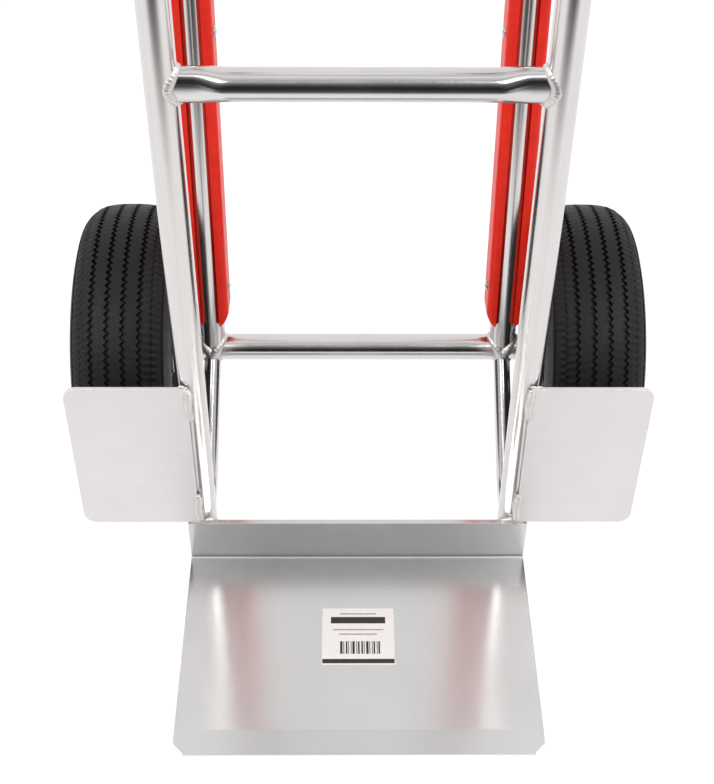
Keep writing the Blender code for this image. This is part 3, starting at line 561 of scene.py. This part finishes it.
def frameWelds(label, side):
    bm = bmesh.new()
    front = Vector((side * frontX, frontY, 0))
    rear = Vector((side * rearTube["x"], axleY, axleZ))
    for node in loadBars.values():
        low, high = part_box(node)
        joint = front + Vector((0, 0, (low.z + high.z) / 2))
        ring = seamRing(joint, (-side, 0, 0), joint, (0, 0, 1), tubeRadius, tubeRadius,
                        loadBar["taller"], loadBar["thinner"])
        addBead(bm, ring, bead["ring"], True)
    addBead(bm, seamRing(rear, glideDirection, rear, (1, 0, 0), tubeRadius, tubeRadius, up=(0, 1, 0)),
            bead["ring"], True)
    down = Vector((0, -math.cos(brace["slope"]), -math.sin(brace["slope"])))
    addBead(bm, seamRing(rear, down, rear, (1, 0, 0), brace["radius"], tubeRadius, up=(1, 0, 0)),
            bead["thin"], True)
    braceZ = axleZ - brace["drop"] * math.sin(brace["slope"]) - brace["bend"] * (1 - math.cos(brace["slope"]))
    back = Vector((side * (rearTube["x"] - frontX), axleY - frontY, 0))
    foot = front + Vector((0, 0, braceZ))
    addBead(bm, seamRing(foot, back, foot, (0, 0, 1), brace["radius"], tubeRadius), bead["thin"], True)
    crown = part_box(f"{label}_glide_tube")[1].z
    climbTop = Vector((side * rearTube["x"], frontY, crown - tubeRadius * 0.2))
    along = (0, math.sin(rearTube["climb"]), -math.cos(rearTube["climb"]))
    addBead(bm, seamRing(climbTop, along, front, (0, 0, 1), tubeRadius, tubeRadius, up=(0, 1, 0)),
            bead["ring"], True)
    low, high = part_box(f"{label}_wheel_guard")
    edge = low.x if side > 0 else high.x
    seam = (edge - side * guardWeld["lap"], low.y + guardWeld["inset"])
    start = guardWeld["start"]
    addBead(bm, stitch((*seam, high.z - start), (*seam, high.z - guardWeld["top"])), bead["stitch"], False)
    addBead(bm, stitch((*seam, low.z + guardWeld["foot"]), (*seam, low.z + start)), bead["stitch"], False)
    ledge = (high.y - guardWeld["inset"], high.z)
    addBead(bm, stitch((edge - side * start, *ledge), (edge + side * guardWeld["ledge"], *ledge)),
            bead["small"], False)
    lip = (toeHigh.y - toeWeld["inset"], toeHigh.z + toeWeld["lift"])
    addBead(bm, stitch((side * (toeHigh.x - toeWeld["end"]), *lip), (side * (frontX - toeWeld["gap"]), *lip)),
            bead["thin"], False)
    for across in (-1, 1):
        seam = (side * frontX + across * (tubeRadius * toeWeld["across"]), toeHigh.y + toeWeld["behind"])
        addBead(bm, stitch((*seam, toeHigh.z - toeWeld["top"]), (*seam, toeLow.z + toeWeld["foot"])),
                bead["thin"], False)
    finishPiece(f"{label}Welds", bm, weldAluminium, sharp=60)


for label, side in sides.items():
    frameWelds(label, side)
print("welds made")


glide = {"from": 0.030, "length": 0.445, "lip": 0.0045, "half": 0.0168, "slot": 0.008, "back": 0.006,
         "bore": 0.0124, "shoulder": 0.005, "heel": 0.003, "grooves": (0.0085, 0.0035), "grooveHalf": 0.0012,
         "grooveDepth": 0.001, "soften": 0.0008, "tip": 0.014, "tipRise": 0.9, "tipCurve": 1.7}
rivet = {"places": (0.036, 0.272, 0.420), "root": 0.0132, "shank": 0.0022, "head": 0.0045, "soften": 0.0003}
glideBack = Vector((0, math.cos(rearTube["lean"]), -math.sin(rearTube["lean"])))


def glideShape(label, side):
    base = Vector((side * rearTube["x"], axleY, axleZ)) + glideDirection * glide["from"]
    lip = math.sqrt(glide["bore"] ** 2 - glide["slot"] ** 2)
    start = math.degrees(math.atan2(-lip, glide["slot"]))
    inside = arcPoints((0, 0), glide["bore"], start, 90, 16)
    front, back = -lip - glide["lip"], glide["bore"] + glide["back"]
    edge, shoulder, heel = glide["half"], glide["shoulder"], glide["heel"]
    outside = [(glide["slot"], front)]
    outside += arcPoints((edge - shoulder, front + shoulder), shoulder, -90, 0, 6)
    outside += arcPoints((edge - heel, back - heel), heel, 0, 90, 5)
    # Shallow grooves along the running face
    wide, floor = glide["grooveHalf"], back - glide["grooveDepth"]
    for u in glide["grooves"]:
        outside += [(u + wide, back), (u + wide / 2, floor), (u - wide / 2, floor), (u - wide, back)]
    half = list(reversed(inside))[1:] + outside
    across = [(-u, v) for u, v in reversed(half)] + [(0, glide["bore"])] + half
    outline = [(u, v, 0) for u, v in across]
    bm = pushed(outline, (0, 0, glide["length"]))
    bmesh.ops.bisect_plane(bm, geom=everything(bm), plane_co=(0, 0, glide["tip"] * 2), plane_no=(0, 0, 1))
    ends = [e for e in bm.edges if abs(e.verts[0].co.z - e.verts[1].co.z) < 1e-6
            and (e.verts[0].co.z < 1e-6 or e.verts[0].co.z > glide["length"] - 1e-6)]
    bevelEdges(bm, ends, glide["soften"], clamp=True)
    # The outer edges of the foot end sweep up
    for vert in bm.verts:
        if vert.co.z < glide["tip"]:
            out = max(0.0, (abs(vert.co.x) - glide["slot"]) / (glide["half"] - glide["slot"]))
            rise = glide["tip"] * glide["tipRise"] * out ** glide["tipCurve"]
            vert.co.z += rise * (1 - vert.co.z / glide["tip"])
    place = Matrix((
        (1, glideBack.x, glideDirection.x, base.x), (0, glideBack.y, glideDirection.y, base.y),
        (0, glideBack.z, glideDirection.z, base.z), (0, 0, 0, 1)))
    placed(bm, place)
    finishPiece(f"{label}StairGlide", bm, redPolypropylene,
                replaced=[f"{label}_stair_slider"], sharp=38, weighted=True)


def glideRivets(label, side):
    for number, along in enumerate(rivet["places"]):
        centre = Vector((side * rearTube["x"], axleY, axleZ)) + glideDirection * (glide["from"] + along)
        face, root, shank, head = glide["half"], rivet["root"], rivet["shank"], rivet["head"]
        section = [(root, 0.0), (root, shank), (face, shank), (face, head), (face + 0.0007, head),
                   (face + 0.0016, head * 0.7), (face + 0.0021, head * 0.32), (face + 0.0015, head * 0.22),
                   (face + 0.0015, 0.0)]
        section = softCorners(section, rivet["soften"], 2, False)
        section = [(-side * offset, radius) for offset, radius in section]
        bm = turned(section, centre, 28, closed=False)
        finishPiece(f"{label}GlideRivet{number + 1}", bm, zincSteel,
                    replaced=[f"{label}_slider_rivet_{number + 1}"])


for label, side in sides.items():
    glideShape(label, side)
    glideRivets(label, side)
print("stair glides made")


tyre = {"grooves": (0.0067, 0.0203), "grooveHalf": 0.0014, "grooveDepth": 0.0034, "zigzag": 0.0014,
        "turns": 128, "edge": 0.0290, "ledge": 0.0016, "ring": 0.0388, "wall": 0.0075, "waist": 0.033,
        "bead": 0.0252, "squareness": 2.8, "lug": 0.0010, "lugFrom": 0.104}
rim = {"lip": 0.058, "seat": 0.050, "half": 0.027, "sheet": 0.002, "gap": 0.00015, "cup": 0.0213,
       "hubBore": 0.0175, "hubHalf": 0.035, "bearingStop": 0.0207, "dish": 0.030, "step": 0.0026,
       "boltCircle": 0.035, "soften": 0.0012}
bearing = {"depth": 0.012, "bore": 0.0098, "race": 0.0035, "recess": 0.0008, "soften": 0.0004}
bolt = {"count": 4, "head": 0.0052, "washer": 0.0006, "corner": 0.0072, "disc": 0.0078, "shank": 0.0036,
        "thread": 0.0040, "tip": 0.0084, "clear": 0.0004, "soften": 0.0006}
valve = {"reach": 0.46, "foot": 0.0042, "stem": 0.0036, "neck": 0.0030, "cap": 0.0038, "tip": 0.0028}


def crown(x):
    # Outer line of the tyre above its widest point: a rounded rectangle
    power = tyre["squareness"]
    return wheelRadius - tyre["waist"] + tyre["waist"] * (1 - (x / tyreHalf) ** power) ** (1 / power)


def tyreSection():
    # Half of the section, from the middle of the tread to the lining: place, radius and share of the zigzag
    half = [(0.0, crown(0.0), 0.0), (0.0030, crown(0.0030), 0.35)]
    for x in tyre["grooves"]:
        wide, deep = tyre["grooveHalf"], tyre["grooveDepth"]
        half += [(x - wide - 0.0003, crown(x - wide), 1.0), (x - wide, crown(x) - 0.0005, 1.0),
                 (x - wide * 0.7, crown(x) - deep, 1.0), (x + wide * 0.7, crown(x) - deep, 1.0),
                 (x + wide, crown(x) - 0.0005, 1.0), (x + wide + 0.0003, crown(x + wide), 1.0)]
        half.append((x + 0.0048, crown(x + 0.0048), 0.3))
        if x == tyre["grooves"][0]:
            half.append((x + 0.0088, crown(x + 0.0088), 0.3))
    edge, ledge = tyre["edge"], tyre["ledge"]
    half += [(edge - 0.0010, crown(edge - 0.0010), 0.6), (edge, crown(edge) - 0.0004, 0.6),
             (edge + 0.0003, crown(edge) - ledge, 0.6)]
    for i in range(1, 7):
        x = edge + (tyre["ring"] - 0.0010 - edge) * i / 6
        half.append((x, crown(x) - 0.0012 + 0.0002 * (i > 4), 0.0))
    ring = tyre["ring"]
    half += [(ring + x, crown(ring + x) + lift, 0.0)
             for x, lift in ((-0.0006, 0.0001), (0.0004, 0.0001), (0.0006, -0.0012))]
    half += [(tyreHalf * 0.975, wheelRadius - 0.0215, 0.0), (tyreHalf * 0.992, wheelRadius - 0.027, 0.0)]
    floor = wheelRadius - tyre["waist"]
    drop = floor - rim["lip"] - 0.0004
    for i in range(11):
        down = 0.92 * i / 10
        x = tyreHalf * (1 - down ** 3) ** (1 / 3)
        step = 0.0006 if i in (5, 6) else 0.0
        half.append((x - step, floor - drop * down, 0.0))
    half += [(tyre["bead"], rim["lip"] + 0.0010, 0.0), (tyre["bead"] - 0.0008, rim["seat"] + 0.0006, 0.0),
             (tyre["bead"] - 0.0080, rim["seat"] + 0.0003, 0.0)]
    reach, top = tyreHalf - tyre["wall"], wheelRadius - tyre["wall"]
    half += [(0.5 * reach, rim["seat"] + 0.010, 0.0), (0.85 * reach, rim["lip"] + 0.018, 0.0),
             (reach, wheelRadius - 0.033, 0.0), (0.5 * reach, top, 0.0)]
    return half


def tyreShape(label, side):
    centre = Vector((side * wheelX, axleY, axleZ))
    half = tyreSection()
    section = half + [(-x, r, s) for x, r, s in reversed(half[1:])]
    steps = tyre["turns"] * 4
    bm = bmesh.new()
    sway = bm.verts.layers.float.new("sway")
    verts = []
    for x, radius, amount in section:
        vert = bm.verts.new(centre + Vector((x, 0, radius)))
        vert[sway] = amount
        verts.append(vert)
    edges = [bm.edges.new(pair) for pair in zip(verts, verts[1:] + verts[:1])]
    bmesh.ops.spin(bm, geom=verts + edges, cent=centre, axis=(1, 0, 0), angle=2 * math.pi, steps=steps,
                   use_merge=True)
    shoulder = (tyre["edge"] + 0.0004, tyre["ring"] - 0.0011)
    for vert in bm.verts:
        offset = vert.co - centre
        angle = math.atan2(offset.y, offset.z) % (2 * math.pi)
        step = round(angle / (2 * math.pi) * steps) % 4
        zigzag = (0, 1, 0, -1)[step]
        vert.co.x += tyre["zigzag"] * zigzag * vert[sway]
        outer = math.hypot(offset.y, offset.z)
        if shoulder[0] < abs(offset.x) < shoulder[1] and outer > tyre["lugFrom"] and step in (0, 1):
            lift = 1 + tyre["lug"] / outer
            vert.co.y = centre.y + offset.y * lift
            vert.co.z = centre.z + offset.z * lift
    bm.verts.layers.float.remove(bm.verts.layers.float["sway"])
    finishPiece(f"{label}Tyre", bm, tyreRubber, f"{label}_wheel",
                [f"{label}_tyre", f"{label}_inner_tube"], sharp=42)


def rimShape(label, side):
    centre = Vector((side * wheelX, axleY, axleZ))
    gap, sheet, cup, bore, hub = (rim[key] for key in ("gap", "sheet", "cup", "hubBore", "hubHalf"))
    circle, seat, lip, half = (rim[key] for key in ("boltCircle", "seat", "lip", "half"))
    face = gap + sheet
    step = face + rim["step"]
    stop = rim["bearingStop"]
    section = [
        (gap, bore), (stop, bore), (stop, cup), (hub, cup), (hub, cup + 0.003), (face + 0.004, cup + 0.0034),
        (face, cup + 0.006), (face, circle + 0.0075), (step, circle + 0.0105), (step, seat - sheet),
        (half, seat - sheet), (half, lip), (half - sheet * 0.9, lip), (half - sheet, seat), (gap, seat),
        (gap, rim["dish"])]
    section = softCorners(section, rim["soften"], 3)
    for place, way in (("outer", side), ("inner", -side)):
        bm = turned([(way * offset, radius) for offset, radius in section], centre, 96)
        finishPiece(f"{label}Rim{place.title()}", bm, blackEnamel, f"{label}_wheel",
                    [f"{label}_rim_{place}"])


def bearingShape(label, side):
    centre = Vector((side * wheelX, axleY, axleZ))
    low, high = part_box(f"{label}_bearing_outer")
    outer, bore, race = (high.z - low.z) / 2, bearing["bore"], bearing["race"]
    back, front = rim["hubHalf"] - bearing["depth"], rim["hubHalf"]
    shield = front - bearing["recess"]
    section = [(back, outer), (front, outer), (front, outer - race), (shield, outer - race - 0.0002),
               (shield, bore + race), (front, bore + race - 0.0002), (front, bore), (back, bore)]
    section = softCorners(section, bearing["soften"], 2)
    for place, way in (("outer", side), ("inner", -side)):
        bm = turned([(way * offset, radius) for offset, radius in section], centre, 64)
        finishPiece(f"{label}Bearing{place.title()}", bm, zincSteel, f"{label}_wheel",
                    [f"{label}_bearing_{place}"])


def hexagonPrism(bm, centre, face, start, end, radius):
    # Bolt head or nut with its corners turned off
    axis = Vector((face, 0, 0))
    place = Matrix.Translation(centre + axis * (start + end) / 2) @ Matrix.Rotation(math.pi / 2, 4, "Y")
    made = bmesh.ops.create_cone(bm, cap_ends=True, segments=6, radius1=radius, radius2=radius,
                                 depth=abs(end - start), matrix=place)["verts"]
    caps = {edge for vert in made for edge in vert.link_edges
            if abs(edge.verts[0].co.x - edge.verts[1].co.x) < 1e-6}
    bevelEdges(bm, caps, bolt["soften"])


def rimBolts(label, side):
    for number in range(bolt["count"]):
        angle = 2 * math.pi * (number + 0.5) / bolt["count"]
        spot = Vector((side * wheelX, axleY, axleZ))
        spot += rim["boltCircle"] * Vector((0, math.cos(angle), math.sin(angle)))
        grip = rim["sheet"] + bolt["clear"]
        bm = bmesh.new()
        near, far = grip + bolt["washer"], grip + bolt["head"]
        for start, end in ((-far, -near), (near, far)):
            hexagonPrism(bm, spot, side, start, end, bolt["corner"])
        disc, shankRadius, thread, tip = (bolt[key] for key in ("disc", "shank", "thread", "tip"))
        body = [(-grip - 0.0008, 0.0), (-grip - 0.0008, disc - 0.0002), (-grip, disc), (-grip, shankRadius),
                (grip, shankRadius), (grip, disc), (grip + 0.0008, disc - 0.0002), (grip + 0.0008, thread),
                (grip + tip - 0.0006, thread), (grip + tip, thread - 0.0006), (grip + tip, 0.0)]
        shank = turned([(side * offset, radius) for offset, radius in body], spot, 24, closed=False)
        mesh = bpy.data.meshes.new("shank")
        shank.to_mesh(mesh)
        shank.free()
        bm.from_mesh(mesh)
        bpy.data.meshes.remove(mesh)
        finishPiece(f"{label}RimBolt{number + 1}", bm, zincSteel, f"{label}_wheel",
                    [f"{label}_rim_bolt_{number + 1}"])


def valveShape(label, side):
    low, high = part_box(f"{label}_valve")
    spot = (low + high) / 2
    centre = Vector((side * wheelX, axleY, axleZ))
    towards = Vector((0, centre.y - spot.y, centre.z - spot.z)).normalized()
    reach = (high - low).length * valve["reach"]
    # Stem, then the screw cap at the end nearer the hub
    section = [(-reach, 0.0), (-reach, valve["foot"]), (0.1 * reach, valve["stem"]),
               (0.12 * reach, valve["neck"]), (0.2 * reach, valve["neck"]), (0.2 * reach, valve["cap"]),
               (0.9 * reach, valve["stem"]), (reach, valve["tip"]), (reach, 0.0)]
    bm = turned(softCorners(section, 0.0004, 2, False), (0, 0, 0), 24, closed=False)
    turn = Vector((1, 0, 0)).rotation_difference(towards).to_matrix().to_4x4()
    placed(bm, Matrix.Translation(spot) @ turn)
    finishPiece(f"{label}Valve", bm, butylRubber, f"{label}_wheel", [f"{label}_valve"])


for label, side in sides.items():
    tyreShape(label, side)
    rimShape(label, side)
    bearingShape(label, side)
    rimBolts(label, side)
    valveShape(label, side)
print("wheels made")


axleLow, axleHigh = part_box("axle")
axleRadius = (axleHigh.z - axleLow.z) / 2
axleChamfer = 0.0012
sleeve = {"clear": 0.0004, "soften": 0.0004}
cotter = {"wire": 0.00078, "eye": 0.0030, "tail": 0.0050, "below": 0.0008}


def axleShape():
    end = axleHigh.x
    section = [(-end, 0.0), (-end, axleRadius), (end, axleRadius), (end, 0.0)]
    section = softCorners(section, axleChamfer, 3, False)
    bm = turned(section, (0, axleY, axleZ), 48, closed=False)
    finishPiece("axle", bm, zincSteel, replaced=["axle"])


def sleeveShape(label, name, pieceName):
    low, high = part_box(f"{label}_{name}")
    radius, half = (high.z - low.z) / 2, (high.x - low.x) / 2
    bore = axleRadius + sleeve["clear"]
    section = [(-half, radius), (half, radius), (half, bore), (-half, bore)]
    bm = turned(softCorners(section, sleeve["soften"], 2), (low + high) / 2, 56)
    finishPiece(f"{label}{pieceName}", bm, zincSteel, replaced=[f"{label}_{name}"])


def cotterShape(label):
    # Two legs side by side, closed by the eye above the axle, with their tails spread below it
    low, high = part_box(f"{label}_split_pin")
    x = (low.x + high.x) / 2
    wire, eye, tail = cotter["wire"], cotter["eye"], cotter["tail"]
    top = high.z - eye - wire
    bottom = axleZ - axleRadius - cotter["below"]
    front, back = axleY - wire, axleY + wire
    path = [(front - tail, bottom - 0.0024), (front - 0.0016, bottom - 0.0012), (front, bottom),
            (front, top - eye)]
    turns = [math.radians(degrees) for degrees in range(-150, 151, 20)]
    path += [(axleY + eye * math.sin(turn), top - eye * math.cos(turn)) for turn in turns]
    path += [(back, top - eye), (back, bottom), (back + 0.0012, bottom - 0.0016),
             (back + tail * 0.8, bottom - 0.0030)]
    points = [(x, y, z) for y, z in path]
    bm = bmesh.new()
    sweptWire(bm, points, [wire] * len(points))
    finishPiece(f"{label}SplitPin", bm, zincSteel, replaced=[f"{label}_split_pin"])


axleShape()
for label in sides:
    sleeveShape(label, "axle_spacer", "AxleSpacer")
    sleeveShape(label, "inner_washer", "InnerWasher")
    sleeveShape(label, "outer_washer", "OuterWasher")
    cotterShape(label)
print("axle made")


handGrip = {"collar": 0.005, "collarStep": 0.004, "clear": 0.0004, "end": 0.004, "ribs": 11,
            "ribsFrom": 0.018, "ribPitch": 0.0085, "ribDepth": 0.0009, "soften": 0.0006}
knuckleBow = {"radius": 0.0055, "reach": 0.054, "corner": 0.016, "inset": 0.004, "root": 0.0025}


def gripShape(label, side):
    low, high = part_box(f"{label}_grip")
    collarRadius = (high.z - low.z) / 2
    radius = collarRadius - handGrip["collarStep"]
    bore = tubeRadius + handGrip["clear"]
    front, back, collar = low.y, high.y, low.y + handGrip["collar"]
    section = [(front, bore), (front, collarRadius), (collar, collarRadius), (collar + 0.0010, radius)]
    deep = radius - handGrip["ribDepth"]
    for i in range(handGrip["ribs"]):
        y = front + handGrip["ribsFrom"] + i * handGrip["ribPitch"]
        section += [(y - 0.0016, radius), (y - 0.0010, deep), (y + 0.0010, deep), (y + 0.0016, radius)]
    section += [(back - 0.004, radius), (back - 0.0012, radius - 0.0012), (back, radius - 0.0045),
                (back, 0.0)]
    section = softCorners(section, handGrip["soften"], 2, False)
    section += [(back - handGrip["end"], 0.0), (back - handGrip["end"], bore)]
    bm = turned(section, (side * frontX, 0, gripZ), 64, axis="Y")
    strays = [e for e in bm.edges if not e.link_faces]
    bmesh.ops.delete(bm, geom=strays, context="EDGES")
    finishPiece(f"{label}Grip", bm, gripPvc, replaced=[f"{label}_grip"])
    bowShape(label, side, front, back, radius - knuckleBow["root"])


def bowShape(label, side, front, back, root):
    # The hoop that guards the knuckles: out, along the grip and back in
    inset, wire, corner = knuckleBow["inset"], knuckleBow["radius"], knuckleBow["corner"]
    out = knuckleBow["reach"] - corner - root
    along = back - front - 2 * inset - 2 * wire - 2 * corner
    quarter = corner * math.pi / 2
    bends = [(out, corner, math.pi / 2), (out + quarter + along, corner, math.pi / 2)]
    bow = straightRod(stationsFor(2 * out + 2 * quarter + along, bends, 0.02, 0.002), wire, 28)
    bendTube(bow, bends)
    turn = Matrix(((0, 0, side, 0), (0, -1, 0, 0), (1, 0, 0, 0), (0, 0, 0, 1)))
    foot = Vector((side * (frontX + root), front + inset + wire, gripZ))
    placed(bow, Matrix.Translation(foot) @ turn)
    finishPiece(f"{label}KnuckleBow", bow, gripPvc)


for label, side in sides.items():
    gripShape(label, side)
print("grips made")


sticker = {"x": 0.0, "y": -0.1253, "width": 0.062, "depth": 0.060, "corner": 0.0012, "paper": 0.00012,
           "ink": 0.00002, "lift": 0.00003, "gap": 0.000005}


# Printed blocks as shares of the label: place up it, width and depth
printed = {"bands": ((-0.435, 0.985, 0.075), (0.285, 0.76, 0.115)), "ruleDepth": 0.022,
           "rules": ((0.40, 0.5), (0.115, 0.70), (0.035, 0.52)), "barsUp": -0.20, "barsDepth": 0.22,
           "barsLeft": 0.25, "barUnit": 0.0112, "bars": (3, 1, 2, 1, 1, 3, 1, 2, 2, 1, 3, 1, 1, 2, 1, 2)}


def labelSheet(bm, x, y, width, depth, bottom, thickness):
    place = Matrix.Translation((x, y, bottom + thickness / 2))
    size = Matrix.Diagonal((width, depth, thickness, 1))
    bmesh.ops.create_cube(bm, size=1.0, matrix=place @ size)


def labelShape():
    top = toe["thickness"] + sticker["lift"]
    x, y, width, depth = sticker["x"], sticker["y"], sticker["width"], sticker["depth"]
    paper = bmesh.new()
    labelSheet(paper, x, y, width, depth, top, sticker["paper"])
    corners = [e for e in paper.edges if abs(e.verts[0].co.z - e.verts[1].co.z) > sticker["paper"] * 0.5]
    bevelEdges(paper, corners, sticker["corner"], 4)
    finishPiece("labelPaper", paper, coatedPaper)
    ink = bmesh.new()
    film = (top + sticker["paper"] + sticker["gap"], sticker["ink"])
    for up, wide, tall in printed["bands"]:
        labelSheet(ink, x, y + depth * up, width * wide, depth * tall, *film)
    unit = width * printed["barUnit"]
    along = x - width * printed["barsLeft"]
    barY, barDepth = y + depth * printed["barsUp"], depth * printed["barsDepth"]
    for i, wide in enumerate(printed["bars"]):
        labelSheet(ink, along + wide * unit / 2, barY, wide * unit, barDepth, *film)
        along += (wide + 1 + i % 2) * unit
    finishPiece("labelPrint", ink, printedInk)
    rules = bmesh.new()
    for up, wide in printed["rules"]:
        labelSheet(rules, x, y + depth * up, width * wide, depth * printed["ruleDepth"], *film)
    finishPiece("labelRules", rules, greyInk)


labelShape()
print("label made")


camera = {"place": (-0.0127, -0.8683, 0.9834), "pitch": 42.95, "yaw": 0.75, "roll": 0.53, "lens": 64.7,
          "sensor": 36}
studioFloor = {"half": 9.0, "below": 0.0002}


def flatSheet(name, half, material, stretch=(1, 1)):
    bm = bmesh.new()
    bmesh.ops.create_grid(bm, x_segments=1, y_segments=1, size=half)
    placed(bm, Matrix.Diagonal((*stretch, 1, 1)))
    mesh = bpy.data.meshes.new(name)
    bm.to_mesh(mesh)
    bm.free()
    mesh.materials.append(material)
    sheet = bpy.data.objects.new(name, mesh)
    scene.collection.objects.link(sheet)
    return sheet


def makeFloor():
    # White acrylic, lit evenly from below
    settings = {"Base Color": grey(0.12), "Roughness": 0.9, "Specular IOR Level": 0.1,
                "Emission Color": grey(1.0), "Emission Strength": 0.96}
    floor = flatSheet("studioFloor", studioFloor["half"], startMaterial("litAcrylic", settings)[0])
    floor.location.z = -studioFloor["below"]


def paintedReflectionSheet(name, width, height, place, turn, strength):
    # Black flag with feathered edges, a painted dark reflection: only the bright metal sees it, never the
    # camera, and it casts no shadow
    material = bpy.data.materials.new(name)
    material.use_nodes = True
    tree = material.node_tree
    tree.nodes.clear()
    spot = addNode(tree, "ShaderNodeTexCoord").outputs["Object"]
    scaled = addNode(tree, "ShaderNodeMapping", {"Scale": (2 / width, 2 / height, 1)}, {"Vector": spot})
    far = addNode(tree, "ShaderNodeVectorMath", {"operation": "LENGTH"}, {0: scaled.outputs["Vector"]})
    fade = addNode(tree, "ShaderNodeMapRange", {"interpolation_type": "SMOOTHSTEP", "From Min": 0.45,
                   "From Max": 1.0, "To Min": strength, "To Max": 0.0}, {"Value": far.outputs["Value"]})
    clear = addNode(tree, "ShaderNodeBsdfTransparent")
    black = addNode(tree, "ShaderNodeBsdfDiffuse", {"Color": grey(0.01)})
    mix = addNode(tree, "ShaderNodeMixShader", links={0: fade.outputs["Result"], 1: clear.outputs["BSDF"],
                                                      2: black.outputs["BSDF"]})
    addNode(tree, "ShaderNodeOutputMaterial", links={"Surface": mix.outputs["Shader"]})
    flag = flatSheet(name, 0.5, material, (width, height))
    flag.matrix_world = Matrix.Translation(place) @ Matrix.Rotation(math.radians(turn), 4, "X")
    flag.visible_camera = flag.visible_diffuse = flag.visible_shadow = False
    flag.visible_transmission = flag.visible_volume_scatter = False


def softbox(name, place, target, size, power, mirrored=True):
    light = bpy.data.lights.new(name, "AREA")
    light.shape = "RECTANGLE"
    light.size, light.size_y = size
    light.energy = power
    lamp = bpy.data.objects.new(name, light)
    lamp.location = place
    lamp.rotation_mode = "QUATERNION"
    lamp.rotation_quaternion = (Vector(target) - Vector(place)).to_track_quat("-Z", "Y")
    lamp.visible_glossy, lamp.visible_diffuse = mirrored, not mirrored
    scene.collection.objects.link(lamp)


def makeWorld():
    # Soft white tent, open and darker towards the front
    world = bpy.data.worlds.new("lightTent")
    scene.world = world
    world.use_nodes = True
    tree = world.node_tree
    tree.nodes.clear()
    way = addNode(tree, "ShaderNodeTexCoord").outputs["Generated"]
    front = Vector((0, -math.cos(math.radians(5)), math.sin(math.radians(5))))
    facing = addNode(tree, "ShaderNodeVectorMath", {"operation": "DOT_PRODUCT", 1: front}, {0: way})
    opening = addNode(tree, "ShaderNodeMapRange", {"From Min": 0.26, "From Max": 0.98, "To Min": 1.0,
                      "To Max": 0.02}, {"Value": facing.outputs["Value"]})
    seen = addNode(tree, "ShaderNodeLightPath").outputs["Is Camera Ray"]
    level = addNode(tree, "ShaderNodeMix", {"data_type": "FLOAT"}, {0: seen, 2: opening.outputs["Result"]})
    level.inputs[3].default_value = 1.0
    sky = addNode(tree, "ShaderNodeBackground", {"Color": grey(1.0)}, {"Strength": level.outputs[0]})
    addNode(tree, "ShaderNodeOutputWorld", links={"Surface": sky.outputs["Background"]})


def makeCamera():
    pitch, yaw, roll = (math.radians(camera[key]) for key in ("pitch", "yaw", "roll"))
    ahead = Vector((math.sin(yaw) * math.cos(pitch), math.cos(yaw) * math.cos(pitch), -math.sin(pitch)))
    level = Vector((math.cos(yaw), -math.sin(yaw), 0))
    upright = level.cross(ahead)
    right = level * math.cos(roll) + upright * math.sin(roll)
    up = upright * math.cos(roll) - level * math.sin(roll)
    data = bpy.data.cameras.new("camera")
    data.lens = camera["lens"]
    data.sensor_width = camera["sensor"]
    eye = bpy.data.objects.new("camera", data)
    axes = Matrix((right, up, -ahead)).transposed().to_4x4()
    eye.matrix_world = Matrix.Translation(camera["place"]) @ axes
    scene.collection.objects.link(eye)
    scene.camera = eye


makeFloor()
makeWorld()
# Painted dark reflection of the shaded room in front, seen only in the metal
paintedReflectionSheet("frontPaintedReflection", 5.0, 1.7, (0, -2.3, 0.3), 90, 0.98)
# Painted shadow on the floor in front, seen only in reflections in the metal
paintedReflectionSheet("floorPaintedShadow", 3.0, 2.4, (0, -1.7, 0.001), 0, 0.95)
softbox("topLight", (0.0, 0.5, 2.6), (0, 0, 0.2), (2.4, 1.6), 20, mirrored=False)
softbox("leftLight", (-1.4, -1.25, 2.3), (0, 0, 0.2), (2.2, 0.7), 32)
softbox("rightLight", (1.4, -1.25, 2.3), (0, 0, 0.2), (2.2, 0.7), 32)
softbox("frontFill", (0, -2.0, 0.9), (0, 0, 0.5), (1.6, 1.0), 14, mirrored=False)
makeCamera()
scene.view_settings.view_transform = "Standard"
print("stage made")
